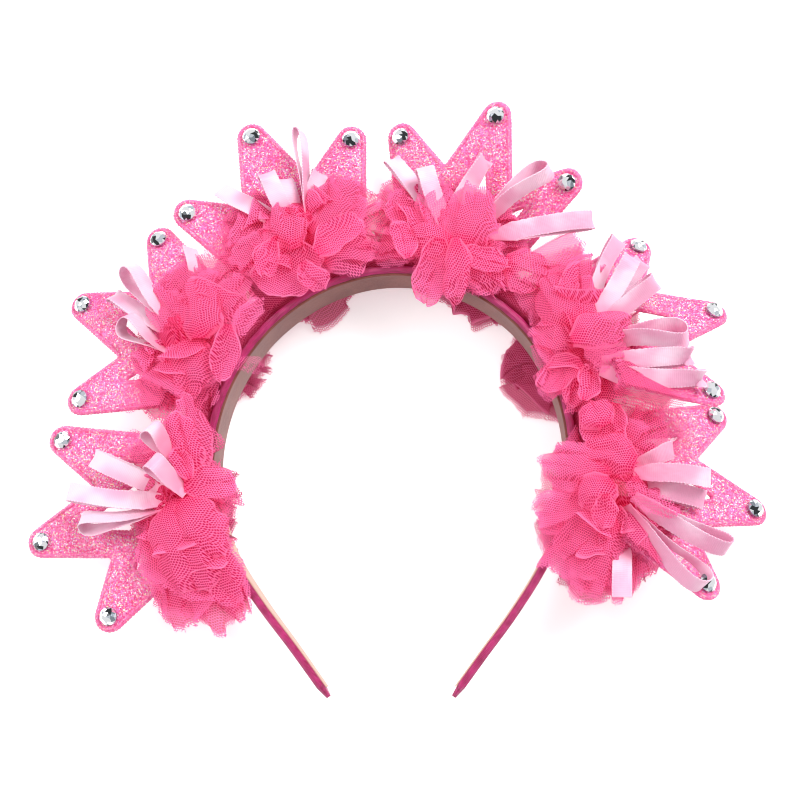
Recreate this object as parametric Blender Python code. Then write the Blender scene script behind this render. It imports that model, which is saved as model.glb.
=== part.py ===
"""Crown headband for a child's stage costume, lying on its side.

The C-shaped band lies flat on the table plane with its front edge up: +X runs
across the head opening, +Y from the two tips to the top of the arch and +Z from
the table up through the width of the band. The origin is under the middle of
the whole outline, on the table plane.

Six identical units sit side by side on the outside of the band. Each unit is a
gathered tulle ruffle wrapped round the band's outer face and both its edges, a
padded crown shape with three rounded points standing out of the ruffle's mouth,
a round faceted stone on each point, and a bunch of narrow ribbon loops tied in
front of the crown.

All sizes below are in millimetres. The last step turns them into metres.
"""

import math

import bmesh
import bpy
from mathutils import Matrix, Vector

MM = 0.001
CLEAR = 0.35  # air left between neighbouring pieces

# ---- band and lining -------------------------------------------------------
BAND_THICK = 2.6
BAND_WIDTH = 18.0  # front edge to back edge at the top of the arch
BAND_MID_Z = 18.0  # height of the band's middle line above the table
BAND_CORNER = 0.8
LINING_THICK = 0.8
LINING_MARGIN = 1.2  # how far the lining stops short of each edge
LINING_END = 3.0  # how far the lining stops short of each tip
BAND_STEPS = 66

# The band's inner face, from the left tip over the arch to the right tip.
BAND_STATIONS = (
    # x, y, width
    (-23.0, -97.5, 7.5),
    (-34.8, -81.6, 10.0),
    (-46.2, -66.8, 13.5),
    (-57.2, -50.0, 16.5),
    (-63.0, -33.0, 18.0),
    (-63.6, -13.5, 18.0),
    (-58.2, 6.5, 18.0),
    (-46.5, 24.6, 18.0),
    (-29.5, 38.0, 18.0),
    (-10.0, 44.6, 18.0),
    (10.0, 43.8, 18.0),
    (28.5, 36.0, 18.0),
    (43.8, 22.0, 18.0),
    (53.2, 2.8, 18.0),
    (56.6, -16.5, 18.0),
    (54.6, -36.0, 18.0),
    (46.9, -54.0, 16.0),
    (36.5, -70.3, 13.0),
    (26.0, -84.2, 10.0),
    (16.2, -97.3, 7.5),
)

# ---- crown shape, in its own plane -----------------------------------------
# a runs across the crown, b outwards from the band; the two side stones lie on
# b = 0 and the middle stone at CROWN_RISE.
CROWN_SPAN = 63.6
CROWN_RISE = 16.0
CROWN_THICK = 2.2
CROWN_EDGE = 0.55  # rounding of the padded edge
TIP_RADIUS = 5.2
NOTCH_A, NOTCH_B = 13.0, -5.3  # outer notch between two points
MID_APEX_B = 1.0  # inner notch under the middle point
SIDE_APEX_A, SIDE_APEX_B = 20.0, -12.3  # inner notch under a side point
FOLD_A, FOLD_B = 9.0, -19.5  # lower corner between two points
FOOT_OUT_A, FOOT_IN_A, FOOT_B = 24.2, 13.4, -29.0  # foot of each outer arm

# Where each crown stands: the middle of the line between its side stones, the
# way it points, how far it leans up away from the table (lean) and how far its
# left side is raised (roll).
CROWNS = (
    # x, y, z, heading, lean, roll
    (-107.8, -41.8, 19.4, -161.6, -2.7, 2.7),
    (-98.7, 31.3, 20.3, 157.9, -11.0, 3.1),
    (-46.5, 81.9, 24.0, 114.5, 3.7, 0.0),
    (29.3, 88.1, 20.8, 71.2, 15.3, -10.0),
    (92.9, 28.2, 23.3, 11.0, -18.8, -21.3),
    (103.6, -32.8, 18.3, -15.1, -14.2, -21.3),
)

# ---- stones ----------------------------------------------------------------
STONE_SIDES = 10
STONE_CUT = (
    # height, radius
    (0.0, 2.6),
    (0.9, 3.0),
    (2.4, 1.6),
)
STONE_LEAN = 10.0  # each stone leans out over its rounded tip
STONE_LIFT = 0.85

# ---- tulle ruffles ---------------------------------------------------------
# Each ruffle covers a stretch of the band and has a row of deep folds. reach is
# how far it stands out from the band, front_in and back_in how far its front
# and back layers come in over the head opening, top its height above the table.
RUFFLE_RINGS = 13
RUFFLE_SPOKES = 19
RUFFLE_GAP = 0.7
RUFFLES = (
    # start, end, reach, front_in, back_in, top, folds, phase
    (28.0, 98.0, 28.0, 7.0, 3.0, 43.0, 7, 0.4),
    (98.0, 140.0, 28.0, 1.5, 3.0, 42.0, 5, 1.9),
    (140.0, 183.0, 28.0, 0.8, 6.0, 42.0, 5, 0.2),
    (183.0, 231.0, 27.0, 6.5, 5.0, 43.0, 6, 2.6),
    (231.0, 274.0, 28.0, 9.0, 5.0, 43.0, 5, 1.1),
    (274.0, 334.0, 28.0, 8.0, 4.0, 43.0, 7, 3.0),
)
FOLD_DEPTH = 0.085  # of the ruffle's reach
MOUTH_HALF = 26.5  # half width of the mouth that holds the crown's feet
MOUTH_FLARE = 52.0  # how much wider the mouth is well outside the ruffle
MOUTH_FLOOR = -1.55  # under the crown's middle plane
MOUTH_FOOT_B = -32.5

# ---- ribbon loops ----------------------------------------------------------
RIBBON_WIDTH = 6.35
RIBBON_THICK = 1.0
RIBBON_ROOT_WIDTH = 3.4  # pinched where it is tied
LOOP_STEPS = 12
KNOT = (7.0, 6.4, 5.0)  # across, outwards, up
# A loop starts at its unit's knot. heading is measured from the crown's own
# heading, rise upwards from its plane, turn about the loop's own length (0 shows
# the ribbon's face from the front, 90 its edge).
KNOTS = (
    # a, b, up
    (4.0, -27.5, 6.2),
    (0.0, -27.5, 6.2),
    (-1.0, -28.0, 6.2),
    (3.0, -28.0, 6.2),
    (0.0, -27.5, 6.2),
    (0.0, -27.0, 6.2),
)
LOOPS = (
    # unit, length, heading, rise, turn, opening
    (1, 33.0, 9.0, 6.0, 12.0, 6.0),
    (1, 30.0, 32.0, 16.0, 38.0, 7.5),
    (1, 26.0, -17.0, 19.0, 8.0, 4.5),
    (1, 30.0, -72.0, 36.0, 60.0, 9.0),
    (1, 19.0, -60.0, 62.0, 50.0, 9.0),
    (2, 30.0, -8.0, 7.0, 25.0, 6.5),
    (2, 31.0, -36.0, 17.0, 35.0, 7.5),
    (2, 25.0, 18.0, 20.0, 70.0, 7.0),
    (2, 24.0, -62.0, 34.0, 15.0, 5.5),
    (2, 17.0, 40.0, 52.0, 30.0, 7.0),
    (3, 29.0, 46.0, 14.0, 10.0, 5.5),
    (3, 30.0, 15.0, 8.0, 20.0, 6.5),
    (3, 38.0, -16.0, 17.0, 72.0, 6.5),
    (3, 27.0, -42.0, 16.0, 35.0, 6.0),
    (3, 19.0, 0.0, 50.0, 20.0, 7.0),
    (4, 30.0, 62.0, 28.0, 30.0, 5.5),
    (4, 31.0, 32.0, 12.0, 20.0, 6.5),
    (4, 31.0, 0.0, 7.0, 10.0, 6.0),
    (4, 35.0, -30.0, 14.0, 48.0, 8.0),
    (4, 36.0, -60.0, 24.0, 10.0, 5.0),
    (5, 33.0, 56.0, 30.0, 20.0, 6.0),
    (5, 31.0, 36.0, 19.0, 25.0, 6.5),
    (5, 31.0, 12.0, 9.0, 62.0, 9.0),
    (5, 33.0, -16.0, 8.0, 20.0, 6.0),
    (5, 30.0, -40.0, 16.0, 35.0, 6.0),
    (6, 29.0, 26.0, 9.0, 10.0, 6.0),
    (6, 27.0, 6.0, 15.0, 28.0, 7.0),
    (6, 34.0, -24.0, 13.0, 55.0, 7.5),
    (6, 34.0, -46.0, 24.0, 30.0, 6.5),
    (6, 30.0, -80.0, 33.0, 18.0, 5.0),
)

# Where the table point under the middle of the outline is, in the frame that
# the tables above use.
ORIGIN = (-2.276, 4.609, 0.0)

COLOURS = {
    # colour, roughness
    "band": ((0.58, 0.016, 0.15), 0.42),
    "lining": ((0.42, 0.29, 0.23), 0.95),
    "tulle": ((0.95, 0.09, 0.30), 0.85),
    "crown": ((0.95, 0.14, 0.42), 0.45),
    "ribbon": ((0.94, 0.50, 0.66), 0.35),
    "stone": ((0.86, 0.88, 0.92), 0.08),
}


# ---- helpers ---------------------------------------------------------------
def clear_scene():
    for ob in list(bpy.data.objects):
        bpy.data.objects.remove(ob, do_unlink=True)


def material(name):
    found = bpy.data.materials.get(name)
    if found:
        return found
    colour, rough = COLOURS[name.split(".")[0].split("-")[0]]
    m = bpy.data.materials.new(name)
    m.use_nodes = True
    p = m.node_tree.nodes["Principled BSDF"]
    p.inputs["Base Color"].default_value = (*colour, 1.0)
    p.inputs["Roughness"].default_value = rough
    p.inputs["Metallic"].default_value = 0.9 if name.startswith("stone") else 0.0
    return m


def add_object(name, points, faces, colour, smooth=None):
    """An object from points in millimetres, moved to the origin and in metres."""
    mesh = bpy.data.meshes.new(name)
    shift = Vector(ORIGIN)
    mesh.from_pydata([tuple((Vector(p) - shift) * MM) for p in points], [], faces)
    mesh.update()
    bm = bmesh.new()
    bm.from_mesh(mesh)
    bmesh.ops.recalc_face_normals(bm, faces=bm.faces)
    bm.to_mesh(mesh)
    bm.free()
    if smooth is not None:
        mesh.shade_smooth()
        mesh.set_sharp_from_angle(angle=math.radians(smooth))
    ob = bpy.data.objects.new(name, mesh)
    bpy.context.scene.collection.objects.link(ob)
    mesh.materials.append(material(colour))
    return ob


def make_tool(ob):
    """Marks an object that only cuts or adds to another one."""
    ob.hide_render = True
    ob.display_type = "WIRE"
    return ob


def combine(ob, tool, operation):
    mod = ob.modifiers.new(tool.name, "BOOLEAN")
    mod.operation = operation
    mod.solver = "EXACT"
    mod.object = tool
    return mod


def settle(ob):
    """Works out the cuts and unions on an object and keeps its largest body.

    Slivers cut loose are dropped, and so are closed pockets between joined
    strips, which makes those solid.
    """
    bpy.context.view_layer.update()
    tools = [m.object for m in ob.modifiers]
    seen = ob.evaluated_get(bpy.context.evaluated_depsgraph_get())
    mesh = bpy.data.meshes.new_from_object(seen)
    ob.modifiers.clear()
    bm = bmesh.new()
    bm.from_mesh(mesh)
    bmesh.ops.remove_doubles(bm, verts=bm.verts, dist=0.00001)
    bmesh.ops.dissolve_degenerate(bm, edges=bm.edges, dist=0.00001)
    bm.verts.ensure_lookup_table()
    left, bodies = set(bm.verts), []
    while left:
        body, edge = set(), [left.pop()]
        body.add(edge[0])
        while edge:
            v = edge.pop()
            for e in v.link_edges:
                w = e.other_vert(v)
                if w in left:
                    left.discard(w)
                    body.add(w)
                    edge.append(w)
        bodies.append(body)

    def spread(body):
        return sum(
            max(v.co[k] for v in body) - min(v.co[k] for v in body) for k in range(3)
        )

    bodies.sort(key=spread, reverse=True)
    for body in bodies[1:]:
        bmesh.ops.delete(bm, geom=list(body), context="VERTS")
    bm.to_mesh(mesh)
    bm.free()
    ob.data = mesh
    for tool in tools:
        bpy.data.objects.remove(tool, do_unlink=True)
    return len(bodies)


def smooth_row(rows, t):
    """A point on the smooth curve through table rows, t counting rows."""
    last = len(rows) - 1
    t = min(max(t, 0.0), float(last))
    i = min(int(t), last - 1)
    f = t - i
    p1, p2 = rows[i], rows[i + 1]
    p0 = rows[i - 1] if i > 0 else tuple(2 * a - b for a, b in zip(p1, p2))
    p3 = rows[i + 2] if i + 2 <= last else tuple(2 * b - a for a, b in zip(p1, p2))
    out = []
    for a, b, c, d in zip(p0, p1, p2, p3):
        out.append(
            0.5
            * (
                2 * b
                + (c - a) * f
                + (2 * a - 5 * b + 4 * c - d) * f * f
                + (3 * b - a - 3 * c + d) * f**3
            )
        )
    return out


class BandPath:
    """The band's inner face as a curve that can be read at any distance along it."""

    def __init__(self, rows, samples=900):
        last = len(rows) - 1
        self.points = [smooth_row(rows, last * i / samples) for i in range(samples + 1)]
        self.run = [0.0]
        for p, q in zip(self.points, self.points[1:]):
            self.run.append(self.run[-1] + math.hypot(q[0] - p[0], q[1] - p[1]))
        self.length = self.run[-1]

    def at(self, s):
        """x, y, width, and the unit vector that points out of the arch."""
        s = min(max(s, 0.0), self.length)
        lo, hi = 0, len(self.run) - 1
        while hi - lo > 1:
            mid = (lo + hi) // 2
            if self.run[mid] <= s:
                lo = mid
            else:
                hi = mid
        f = (s - self.run[lo]) / max(self.run[hi] - self.run[lo], 1e-9)
        p, q = self.points[lo], self.points[hi]
        a = self.points[max(lo - 8, 0)]
        b = self.points[min(hi + 8, len(self.points) - 1)]
        tx, ty = b[0] - a[0], b[1] - a[1]
        size = math.hypot(tx, ty)
        out = Vector((-ty / size, tx / size, 0.0))
        x, y, w = (u + (v - u) * f for u, v in zip(p, q))
        return x, y, w, out


PATH = BandPath(BAND_STATIONS)


def loft(sections, closed_ends=True):
    """Quads between equal rings of points, with the first and last ring filled."""
    n = len(sections[0])
    points = [p for ring in sections for p in ring]
    faces = []
    for r in range(len(sections) - 1):
        for j in range(n):
            a, b = r * n + j, r * n + (j + 1) % n
            faces.append((a, b, b + n, a + n))
    if closed_ends:
        faces.append(tuple(range(n - 1, -1, -1)))
        faces.append(tuple(range((len(sections) - 1) * n, len(sections) * n)))
    return points, faces


# ---- band ------------------------------------------------------------------
def tip_factor(s, run):
    """1 along the band, falling as a quarter circle over the last stretch."""
    d = min(s, PATH.length - s)
    if d >= run:
        return 1.0
    return math.sqrt(max(1.0 - (1.0 - d / run) ** 2, 0.0))


def strip_section(s, near, far, half, corner):
    """A ring round a flat strip that lies from near to far outwards of the path."""
    x, y, _, out = PATH.at(s)
    c = min(corner, (far - near) * 0.45, half * 0.45)
    profile = (
        (near + c, -half),
        (far - c, -half),
        (far, -half + c),
        (far, half - c),
        (far - c, half),
        (near + c, half),
        (near, half - c),
        (near, -half + c),
    )
    return [
        Vector((x, y, 0)) + out * n + Vector((0, 0, BAND_MID_Z + z)) for n, z in profile
    ]


def make_band():
    rings = []
    for i in range(BAND_STEPS + 1):
        # stations crowd towards the two rounded tips
        u = i / BAND_STEPS
        s = PATH.length * (u - math.sin(2 * math.pi * u) * 0.035)
        half = PATH.at(s)[2] / 2 * max(tip_factor(s, 3.4), 0.42)
        swell = 0.5 * (1 - max(tip_factor(s, 3.4), 0.55)) * BAND_THICK
        rings.append(strip_section(s, swell, BAND_THICK - swell, half, BAND_CORNER))
    add_object("band", *loft(rings), "band", 40)


def make_lining():
    rings = []
    steps = BAND_STEPS - 10
    for i in range(steps + 1):
        s = LINING_END + (PATH.length - 2 * LINING_END) * i / steps
        half = PATH.at(s)[2] / 2 - LINING_MARGIN
        if i in (0, steps):
            half *= 0.6
        rings.append(
            strip_section(s, -CLEAR - LINING_THICK, -CLEAR, half, 0.25)
        )
    add_object("lining", *loft(rings), "lining", 40)


# ---- crown -----------------------------------------------------------------
def crown_frame(row):
    """The crown's plane as a matrix: a across, b outwards, c up out of it."""
    x, y, z, heading, lean, roll = row
    return (
        Matrix.Translation((x, y, z))
        @ Matrix.Rotation(math.radians(heading - 90.0), 4, "Z")
        @ Matrix.Rotation(math.radians(lean), 4, "X")
        @ Matrix.Rotation(math.radians(roll), 4, "Y")
    )


def arc(cx, cy, radius, start, end, steps):
    return [
        (
            cx + radius * math.cos(math.radians(start + (end - start) * i / steps)),
            cy + radius * math.sin(math.radians(start + (end - start) * i / steps)),
        )
        for i in range(steps + 1)
    ]


def crown_outline():
    """Counter-clockwise outline of the zigzag crown, three points and two feet."""
    half = CROWN_SPAN / 2
    right = [(FOOT_IN_A, FOOT_B), (FOOT_OUT_A, FOOT_B)]
    right += arc(half, 0.0, TIP_RADIUS, -24.0, 118.0, 6)
    right += [(NOTCH_A + 0.5, NOTCH_B + 0.05), (NOTCH_A - 0.4, NOTCH_B + 0.6)]
    middle = arc(0.0, CROWN_RISE, TIP_RADIUS, 20.0, 160.0, 6)
    left = [(-a, b) for a, b in reversed(right)]
    inside = [
        (-SIDE_APEX_A + 0.5, SIDE_APEX_B - 0.9),
        (-SIDE_APEX_A, SIDE_APEX_B),
        (-SIDE_APEX_A + 0.9, SIDE_APEX_B - 0.3),
        (-FOLD_A - 0.8, FOLD_B + 0.3),
        (-FOLD_A + 0.6, FOLD_B),
        (-0.6, MID_APEX_B - 0.5),
        (0.6, MID_APEX_B - 0.5),
        (FOLD_A - 0.6, FOLD_B),
        (FOLD_A + 0.8, FOLD_B + 0.3),
        (SIDE_APEX_A - 0.9, SIDE_APEX_B - 0.3),
        (SIDE_APEX_A, SIDE_APEX_B),
        (SIDE_APEX_A - 0.5, SIDE_APEX_B - 0.9),
    ]
    return right + middle + left + inside


def inset(outline, d):
    """The outline moved inwards by d along the mean of its two edge normals."""
    out = []
    n = len(outline)
    for i in range(n):
        p, q, r = (Vector(outline[(i + k) % n]) for k in (-1, 0, 1))
        e1, e2 = (q - p).normalized(), (r - q).normalized()
        n1, n2 = Vector((-e1.y, e1.x)), Vector((-e2.y, e2.x))
        m = n1 + n2
        if m.length < 1e-6:
            m = n1.copy()
        m.normalize()
        k = min(1.0 / max(m.dot(n1), 0.5), 1.6)
        v = q + m * d * k
        out.append((v.x, v.y))
    return out


def make_crown(index, row):
    place = crown_frame(row)
    outline = crown_outline()
    small = inset(outline, CROWN_EDGE)
    half = CROWN_THICK / 2
    layers = (
        (small, -half),
        (outline, -half + CROWN_EDGE),
        (outline, half - CROWN_EDGE),
        (small, half),
    )
    rings = [[place @ Vector((a, b, c)) for a, b in ring] for ring, c in layers]
    add_object(f"crown_{index}", *loft(rings), "crown", 30)


# ---- stones ----------------------------------------------------------------
def make_stones(index, row):
    place = crown_frame(row)
    half = CROWN_SPAN / 2
    seats = (
        (-half, 0.0, 42.0),
        (0.0, CROWN_RISE, 0.0),
        (half, 0.0, -42.0),
    )
    for k, (a, b, turn) in enumerate(seats):
        seat = (
            place
            @ Matrix.Translation((a, b, CROWN_THICK / 2 + STONE_LIFT))
            @ Matrix.Rotation(math.radians(turn), 4, "Z")
            @ Matrix.Rotation(math.radians(-STONE_LEAN), 4, "X")
        )
        rings = []
        for level, (height, radius) in enumerate(STONE_CUT):
            twist = math.pi / STONE_SIDES * (level % 2)
            rings.append(
                [
                    seat
                    @ Vector(
                        (
                            radius * math.cos(2 * math.pi * i / STONE_SIDES + twist),
                            radius * math.sin(2 * math.pi * i / STONE_SIDES + twist),
                            height,
                        )
                    )
                    for i in range(STONE_SIDES)
                ]
            )
        points, faces = loft(rings)
        add_object(f"gem_{3 * index - 2 + k}", points, faces, "stone")


# ---- ruffles ---------------------------------------------------------------
def ruffle_profile(reach, front_in, back_in, top, swell):
    """Outer and inner points of a C that hugs the band, back layer first.

    n is measured outwards from the band's inner face and z from the table. swell
    gives each outer point its fold, as a factor on its distance from the band.
    """
    front = BAND_MID_Z + BAND_WIDTH / 2 + CLEAR
    back = BAND_MID_Z - BAND_WIDTH / 2 - CLEAR
    outside = BAND_THICK + CLEAR + 0.2
    mid_n = BAND_THICK / 2
    outer, inner = [], []
    for j in range(RUFFLE_SPOKES):
        f = j / (RUFFLE_SPOKES - 1)
        angle = math.radians(-158.0 + 316.0 * f)  # 0 points outwards, 90 to the front
        c, s = math.cos(angle), math.sin(angle)
        reach_n = (
            reach - mid_n
            if c >= 0
            else mid_n + (front_in if s > 0 else back_in) + 1.0
        )
        reach_z = top - BAND_MID_Z if s > 0 else BAND_MID_Z + 4.0
        power = 2.6
        r = (abs(c / reach_n) ** power + abs(s / reach_z) ** power) ** (-1 / power)
        r *= swell(f)
        n, z = mid_n + r * c, max(BAND_MID_Z + r * s, 0.0)
        if s > 0 and c < 0:
            z = max(z, front + 2.2)
        if s < 0 and c < 0:
            z = min(z, back - 2.2)
        outer.append((n, z))
        # the matching point on the box round the band
        if n <= outside and z >= front:
            inner.append((min(n, outside), front))
        elif n <= outside and z <= back:
            inner.append((min(n, outside), back))
        else:
            inner.append((outside, BAND_MID_Z + (front - back) / 2 * s * 0.9))
    # the two spokes next to the band's edges meet the corners of that box
    side = [j for j, (n, z) in enumerate(inner) if n == outside and back < z < front]
    inner[side[0]], inner[side[-1]] = (outside, back), (outside, front)
    return outer, inner


def make_ruffle(index, row, crown_row):
    start, end, reach, front_in, back_in, top, folds, phase = row
    start, end = start + RUFFLE_GAP / 2, end - RUFFLE_GAP / 2
    points, n = [], RUFFLE_SPOKES
    for i in range(RUFFLE_RINGS):
        u = i / (RUFFLE_RINGS - 1)
        s = start + (end - start) * u
        x, y, _, out = PATH.at(s)
        # the ruffle thins towards both ends and is fullest in the middle
        full = 0.62 + 0.38 * math.sin(math.pi * u) ** 0.7

        def swell(f, u=u, full=full):
            wave = math.cos(2 * math.pi * folds * u + phase + 3.0 * math.sin(5.0 * f))
            cross = math.cos(2 * math.pi * 3.5 * f + phase)
            return full * (1.0 + FOLD_DEPTH * (wave + 0.6 * cross))

        outer, inner = ruffle_profile(reach, front_in, back_in, top, swell)
        base = Vector((x, y, 0))
        for a, z in outer + inner:
            points.append(base + out * a + Vector((0, 0, z)))
    faces = []
    ring = 2 * n
    for i in range(RUFFLE_RINGS - 1):
        a, b = i * ring, (i + 1) * ring
        for j in range(n - 1):
            faces.append((a + j, a + j + 1, b + j + 1, b + j))
            faces.append((a + n + j + 1, a + n + j, b + n + j, b + n + j + 1))
        faces.append((a + n, a, b, b + n))
        faces.append((a + n - 1, a + 2 * n - 1, b + 2 * n - 1, b + n - 1))
    for j in range(n - 1):
        faces.append((j + 1, j, n + j, n + j + 1))
        e = (RUFFLE_RINGS - 1) * ring
        faces.append((e + j, e + j + 1, e + n + j + 1, e + n + j))
    body = add_object(f"tulle_ruffle_{index}", points, faces, "tulle", 50)

    # the mouth in which the crown's feet and the tied ribbons sit
    place = crown_frame(crown_row)
    corners = [
        place @ Vector((a, b, c))
        for c in (MOUTH_FLOOR, 70.0)
        for a, b in (
            (-MOUTH_HALF, MOUTH_FOOT_B),
            (MOUTH_HALF, MOUTH_FOOT_B),
            (MOUTH_HALF + MOUTH_FLARE, 70.0),
            (-MOUTH_HALF - MOUTH_FLARE, 70.0),
        )
    ]
    mouth = add_object(
        f"mouth_{index}",
        corners,
        [(3, 2, 1, 0), (4, 5, 6, 7), (0, 1, 5, 4), (1, 2, 6, 5), (2, 3, 7, 6), (3, 0, 4, 7)],
        "tulle",
    )
    combine(body, make_tool(mouth), "DIFFERENCE")
    settle(body)


# ---- ribbons ---------------------------------------------------------------
def make_loop(name, root, length, heading, rise, turn, opening):
    """One ribbon loop as a closed strip: out along one strand, back along the other."""
    frame = (
        root
        @ Matrix.Rotation(math.radians(heading), 4, "Z")
        @ Matrix.Rotation(math.radians(rise), 4, "X")
        @ Matrix.Rotation(math.radians(turn), 4, "Y")
    )
    line = []
    for i in range(LOOP_STEPS + 1):
        t = i / LOOP_STEPS
        out = length * math.sin(math.pi * t) ** 0.85 if 0 < t < 1 else 0.0
        up = opening / 2 * math.sin(2 * math.pi * t) * (0.3 + 0.7 * math.sin(math.pi * t))
        line.append(Vector((0.0, out, up + 0.85 * math.cos(math.pi * t))))
    rings = []
    for i, p in enumerate(line):
        q, r = line[max(i - 1, 0)], line[min(i + 1, LOOP_STEPS)]
        along = (r - q).normalized()
        normal = Vector((0.0, -along.z, along.y)) * (RIBBON_THICK / 2)
        spread = min(1.0, p.y / (0.45 * length))
        half = (RIBBON_ROOT_WIDTH + (RIBBON_WIDTH - RIBBON_ROOT_WIDTH) * spread) / 2
        side = Vector((half, 0.0, 0.0))
        rings.append(
            [frame @ v for v in (p - side - normal, p + side - normal, p + side + normal, p - side + normal)]
        )
    return make_tool(add_object(name, *loft(rings), "ribbon"))


def make_ribbons(index, crown_row):
    a, b, up = KNOTS[index - 1]
    root = crown_frame(crown_row) @ Matrix.Translation((a, b, up))
    sx, sy, sz = (v / 2 for v in KNOT)
    rings = []
    for z, k in ((-sz, 0.6), (-sz * 0.4, 1.0), (sz * 0.4, 1.0), (sz, 0.6)):
        rings.append(
            [
                root
                @ Vector(
                    (
                        sx * k * math.cos(math.radians(45 * i + 22.5)) * 1.08,
                        sy * k * math.sin(math.radians(45 * i + 22.5)) * 1.08,
                        z,
                    )
                )
                for i in range(8)
            ]
        )
    knot = add_object(f"ribbon_loops_{index}", *loft(rings), "ribbon", 40)
    for k, row in enumerate(r for r in LOOPS if r[0] == index):
        loop = make_loop(f"loop_{index}_{k}", root, *row[1:])
        combine(knot, loop, "UNION")
    settle(knot)


# ---- the headband ----------------------------------------------------------
def main():
    clear_scene()
    make_band()
    make_lining()
    for i, (ruffle, crown) in enumerate(zip(RUFFLES, CROWNS), 1):
        make_ruffle(i, ruffle, crown)
        make_crown(i, crown)
        make_stones(i, crown)
        make_ribbons(i, crown)


main()
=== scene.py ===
import math

import bmesh
import bpy
import numpy as np
from mathutils import Matrix, Vector, geometry


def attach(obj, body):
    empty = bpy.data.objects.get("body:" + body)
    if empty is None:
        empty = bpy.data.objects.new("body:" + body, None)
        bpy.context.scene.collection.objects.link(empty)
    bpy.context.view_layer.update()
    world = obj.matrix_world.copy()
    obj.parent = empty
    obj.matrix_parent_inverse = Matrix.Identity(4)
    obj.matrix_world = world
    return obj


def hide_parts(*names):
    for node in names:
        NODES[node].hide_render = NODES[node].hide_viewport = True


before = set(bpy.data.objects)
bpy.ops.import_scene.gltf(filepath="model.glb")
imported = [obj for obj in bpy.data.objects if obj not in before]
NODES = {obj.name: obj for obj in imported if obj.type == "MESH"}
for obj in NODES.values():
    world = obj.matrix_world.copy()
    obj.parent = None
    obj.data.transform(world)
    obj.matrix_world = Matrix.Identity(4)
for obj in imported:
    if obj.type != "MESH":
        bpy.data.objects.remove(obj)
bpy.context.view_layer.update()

MM = 0.001

# Everything below is worked out in millimetres in the model's own frame and turned
# into metres when a mesh is made.

# ---- camera ----------------------------------------------------------------
AIM = np.array((2.276, -4.609, 27.0))
TO_CAMERA = np.array((math.tan(math.radians(3.0)), -math.tan(math.radians(11.2)), 1.0))
TO_CAMERA /= np.linalg.norm(TO_CAMERA)
CAMERA_FAR = 410.0
FOCAL_PX = 1210.0
CAM_RIGHT = np.cross((0.0, 1.0, 0.0), TO_CAMERA)
CAM_RIGHT /= np.linalg.norm(CAM_RIGHT)
CAM_UP = np.cross(TO_CAMERA, CAM_RIGHT)
CAM_AT = AIM + TO_CAMERA * CAMERA_FAR


def make_camera():
    data = bpy.data.cameras.new("photo_camera")
    data.sensor_width = 36.0
    data.lens = 36.0 * FOCAL_PX / 800.0
    data.clip_start, data.clip_end = 0.01, 10.0
    ob = bpy.data.objects.new("photo_camera", data)
    bpy.context.scene.collection.objects.link(ob)
    m = Matrix.Identity(4)
    for i in range(3):
        m[i][0], m[i][1], m[i][2] = CAM_RIGHT[i], CAM_UP[i], TO_CAMERA[i]
        m[i][3] = CAM_AT[i] * MM
    ob.matrix_world = m
    bpy.context.scene.camera = ob


make_camera()


def spot(px, py, z):
    """The point at height z that the photograph shows at this pixel."""
    ray = (
        -TO_CAMERA
        + CAM_RIGHT * ((px - 400.0) / FOCAL_PX)
        + CAM_UP * ((400.0 - py) / FOCAL_PX)
    )
    return CAM_AT + ray * ((z - CAM_AT[2]) / ray[2])


# ---- the band's path and the crowns' places, as in the model ---------------
SHIFT = (2.276, -4.609)
BAND_THICK, BAND_WIDTH, BAND_MID_Z = 2.6, 18.0, 18.0
BAND_STATIONS = (
    # x, y, width
    (-23.0, -97.5, 7.5),
    (-34.8, -81.6, 10.0),
    (-46.2, -66.8, 13.5),
    (-57.2, -50.0, 16.5),
    (-63.0, -33.0, 18.0),
    (-63.6, -13.5, 18.0),
    (-58.2, 6.5, 18.0),
    (-46.5, 24.6, 18.0),
    (-29.5, 38.0, 18.0),
    (-10.0, 44.6, 18.0),
    (10.0, 43.8, 18.0),
    (28.5, 36.0, 18.0),
    (43.8, 22.0, 18.0),
    (53.2, 2.8, 18.0),
    (56.6, -16.5, 18.0),
    (54.6, -36.0, 18.0),
    (46.9, -54.0, 16.0),
    (36.5, -70.3, 13.0),
    (26.0, -84.2, 10.0),
    (16.2, -97.3, 7.5),
)
CROWNS = (
    # x, y, z, heading, lean, roll
    (-107.8, -41.8, 19.4, -161.6, -2.7, 2.7),
    (-98.7, 31.3, 20.3, 157.9, -11.0, 3.1),
    (-46.5, 81.9, 24.0, 114.5, 3.7, 0.0),
    (29.3, 88.1, 20.8, 71.2, 15.3, -10.0),
    (92.9, 28.2, 23.3, 11.0, -18.8, -21.3),
    (103.6, -32.8, 18.3, -15.1, -14.2, -21.3),
)
CROWN_SPAN, CROWN_RISE, CROWN_THICK = 63.6, 16.0, 2.2
TIP_RADIUS = 5.2
NOTCH_A, NOTCH_B = 13.0, -5.3
MID_APEX_B = 1.0
SIDE_APEX_A, SIDE_APEX_B = 20.0, -12.3
FOLD_A, FOLD_B = 9.0, -19.5
FOOT_OUT_A, FOOT_IN_A, FOOT_B = 24.2, 13.4, -29.0


def through(rows, t):
    """Points on the smooth curve through rows, for an array t that counts rows."""
    rows = np.asarray(rows, float)
    last = len(rows) - 1
    t = np.clip(np.asarray(t, float), 0.0, last)
    i = np.minimum(t.astype(int), last - 1)
    f = (t - i)[:, None]
    ext = np.vstack([2 * rows[0] - rows[1], rows, 2 * rows[-1] - rows[-2]])
    a, b, c, d = (ext[i + k] for k in range(4))
    return 0.5 * (
        2 * b
        + (c - a) * f
        + (2 * a - 5 * b + 4 * c - d) * f**2
        + (3 * b - a - 3 * c + d) * f**3
    )


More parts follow.
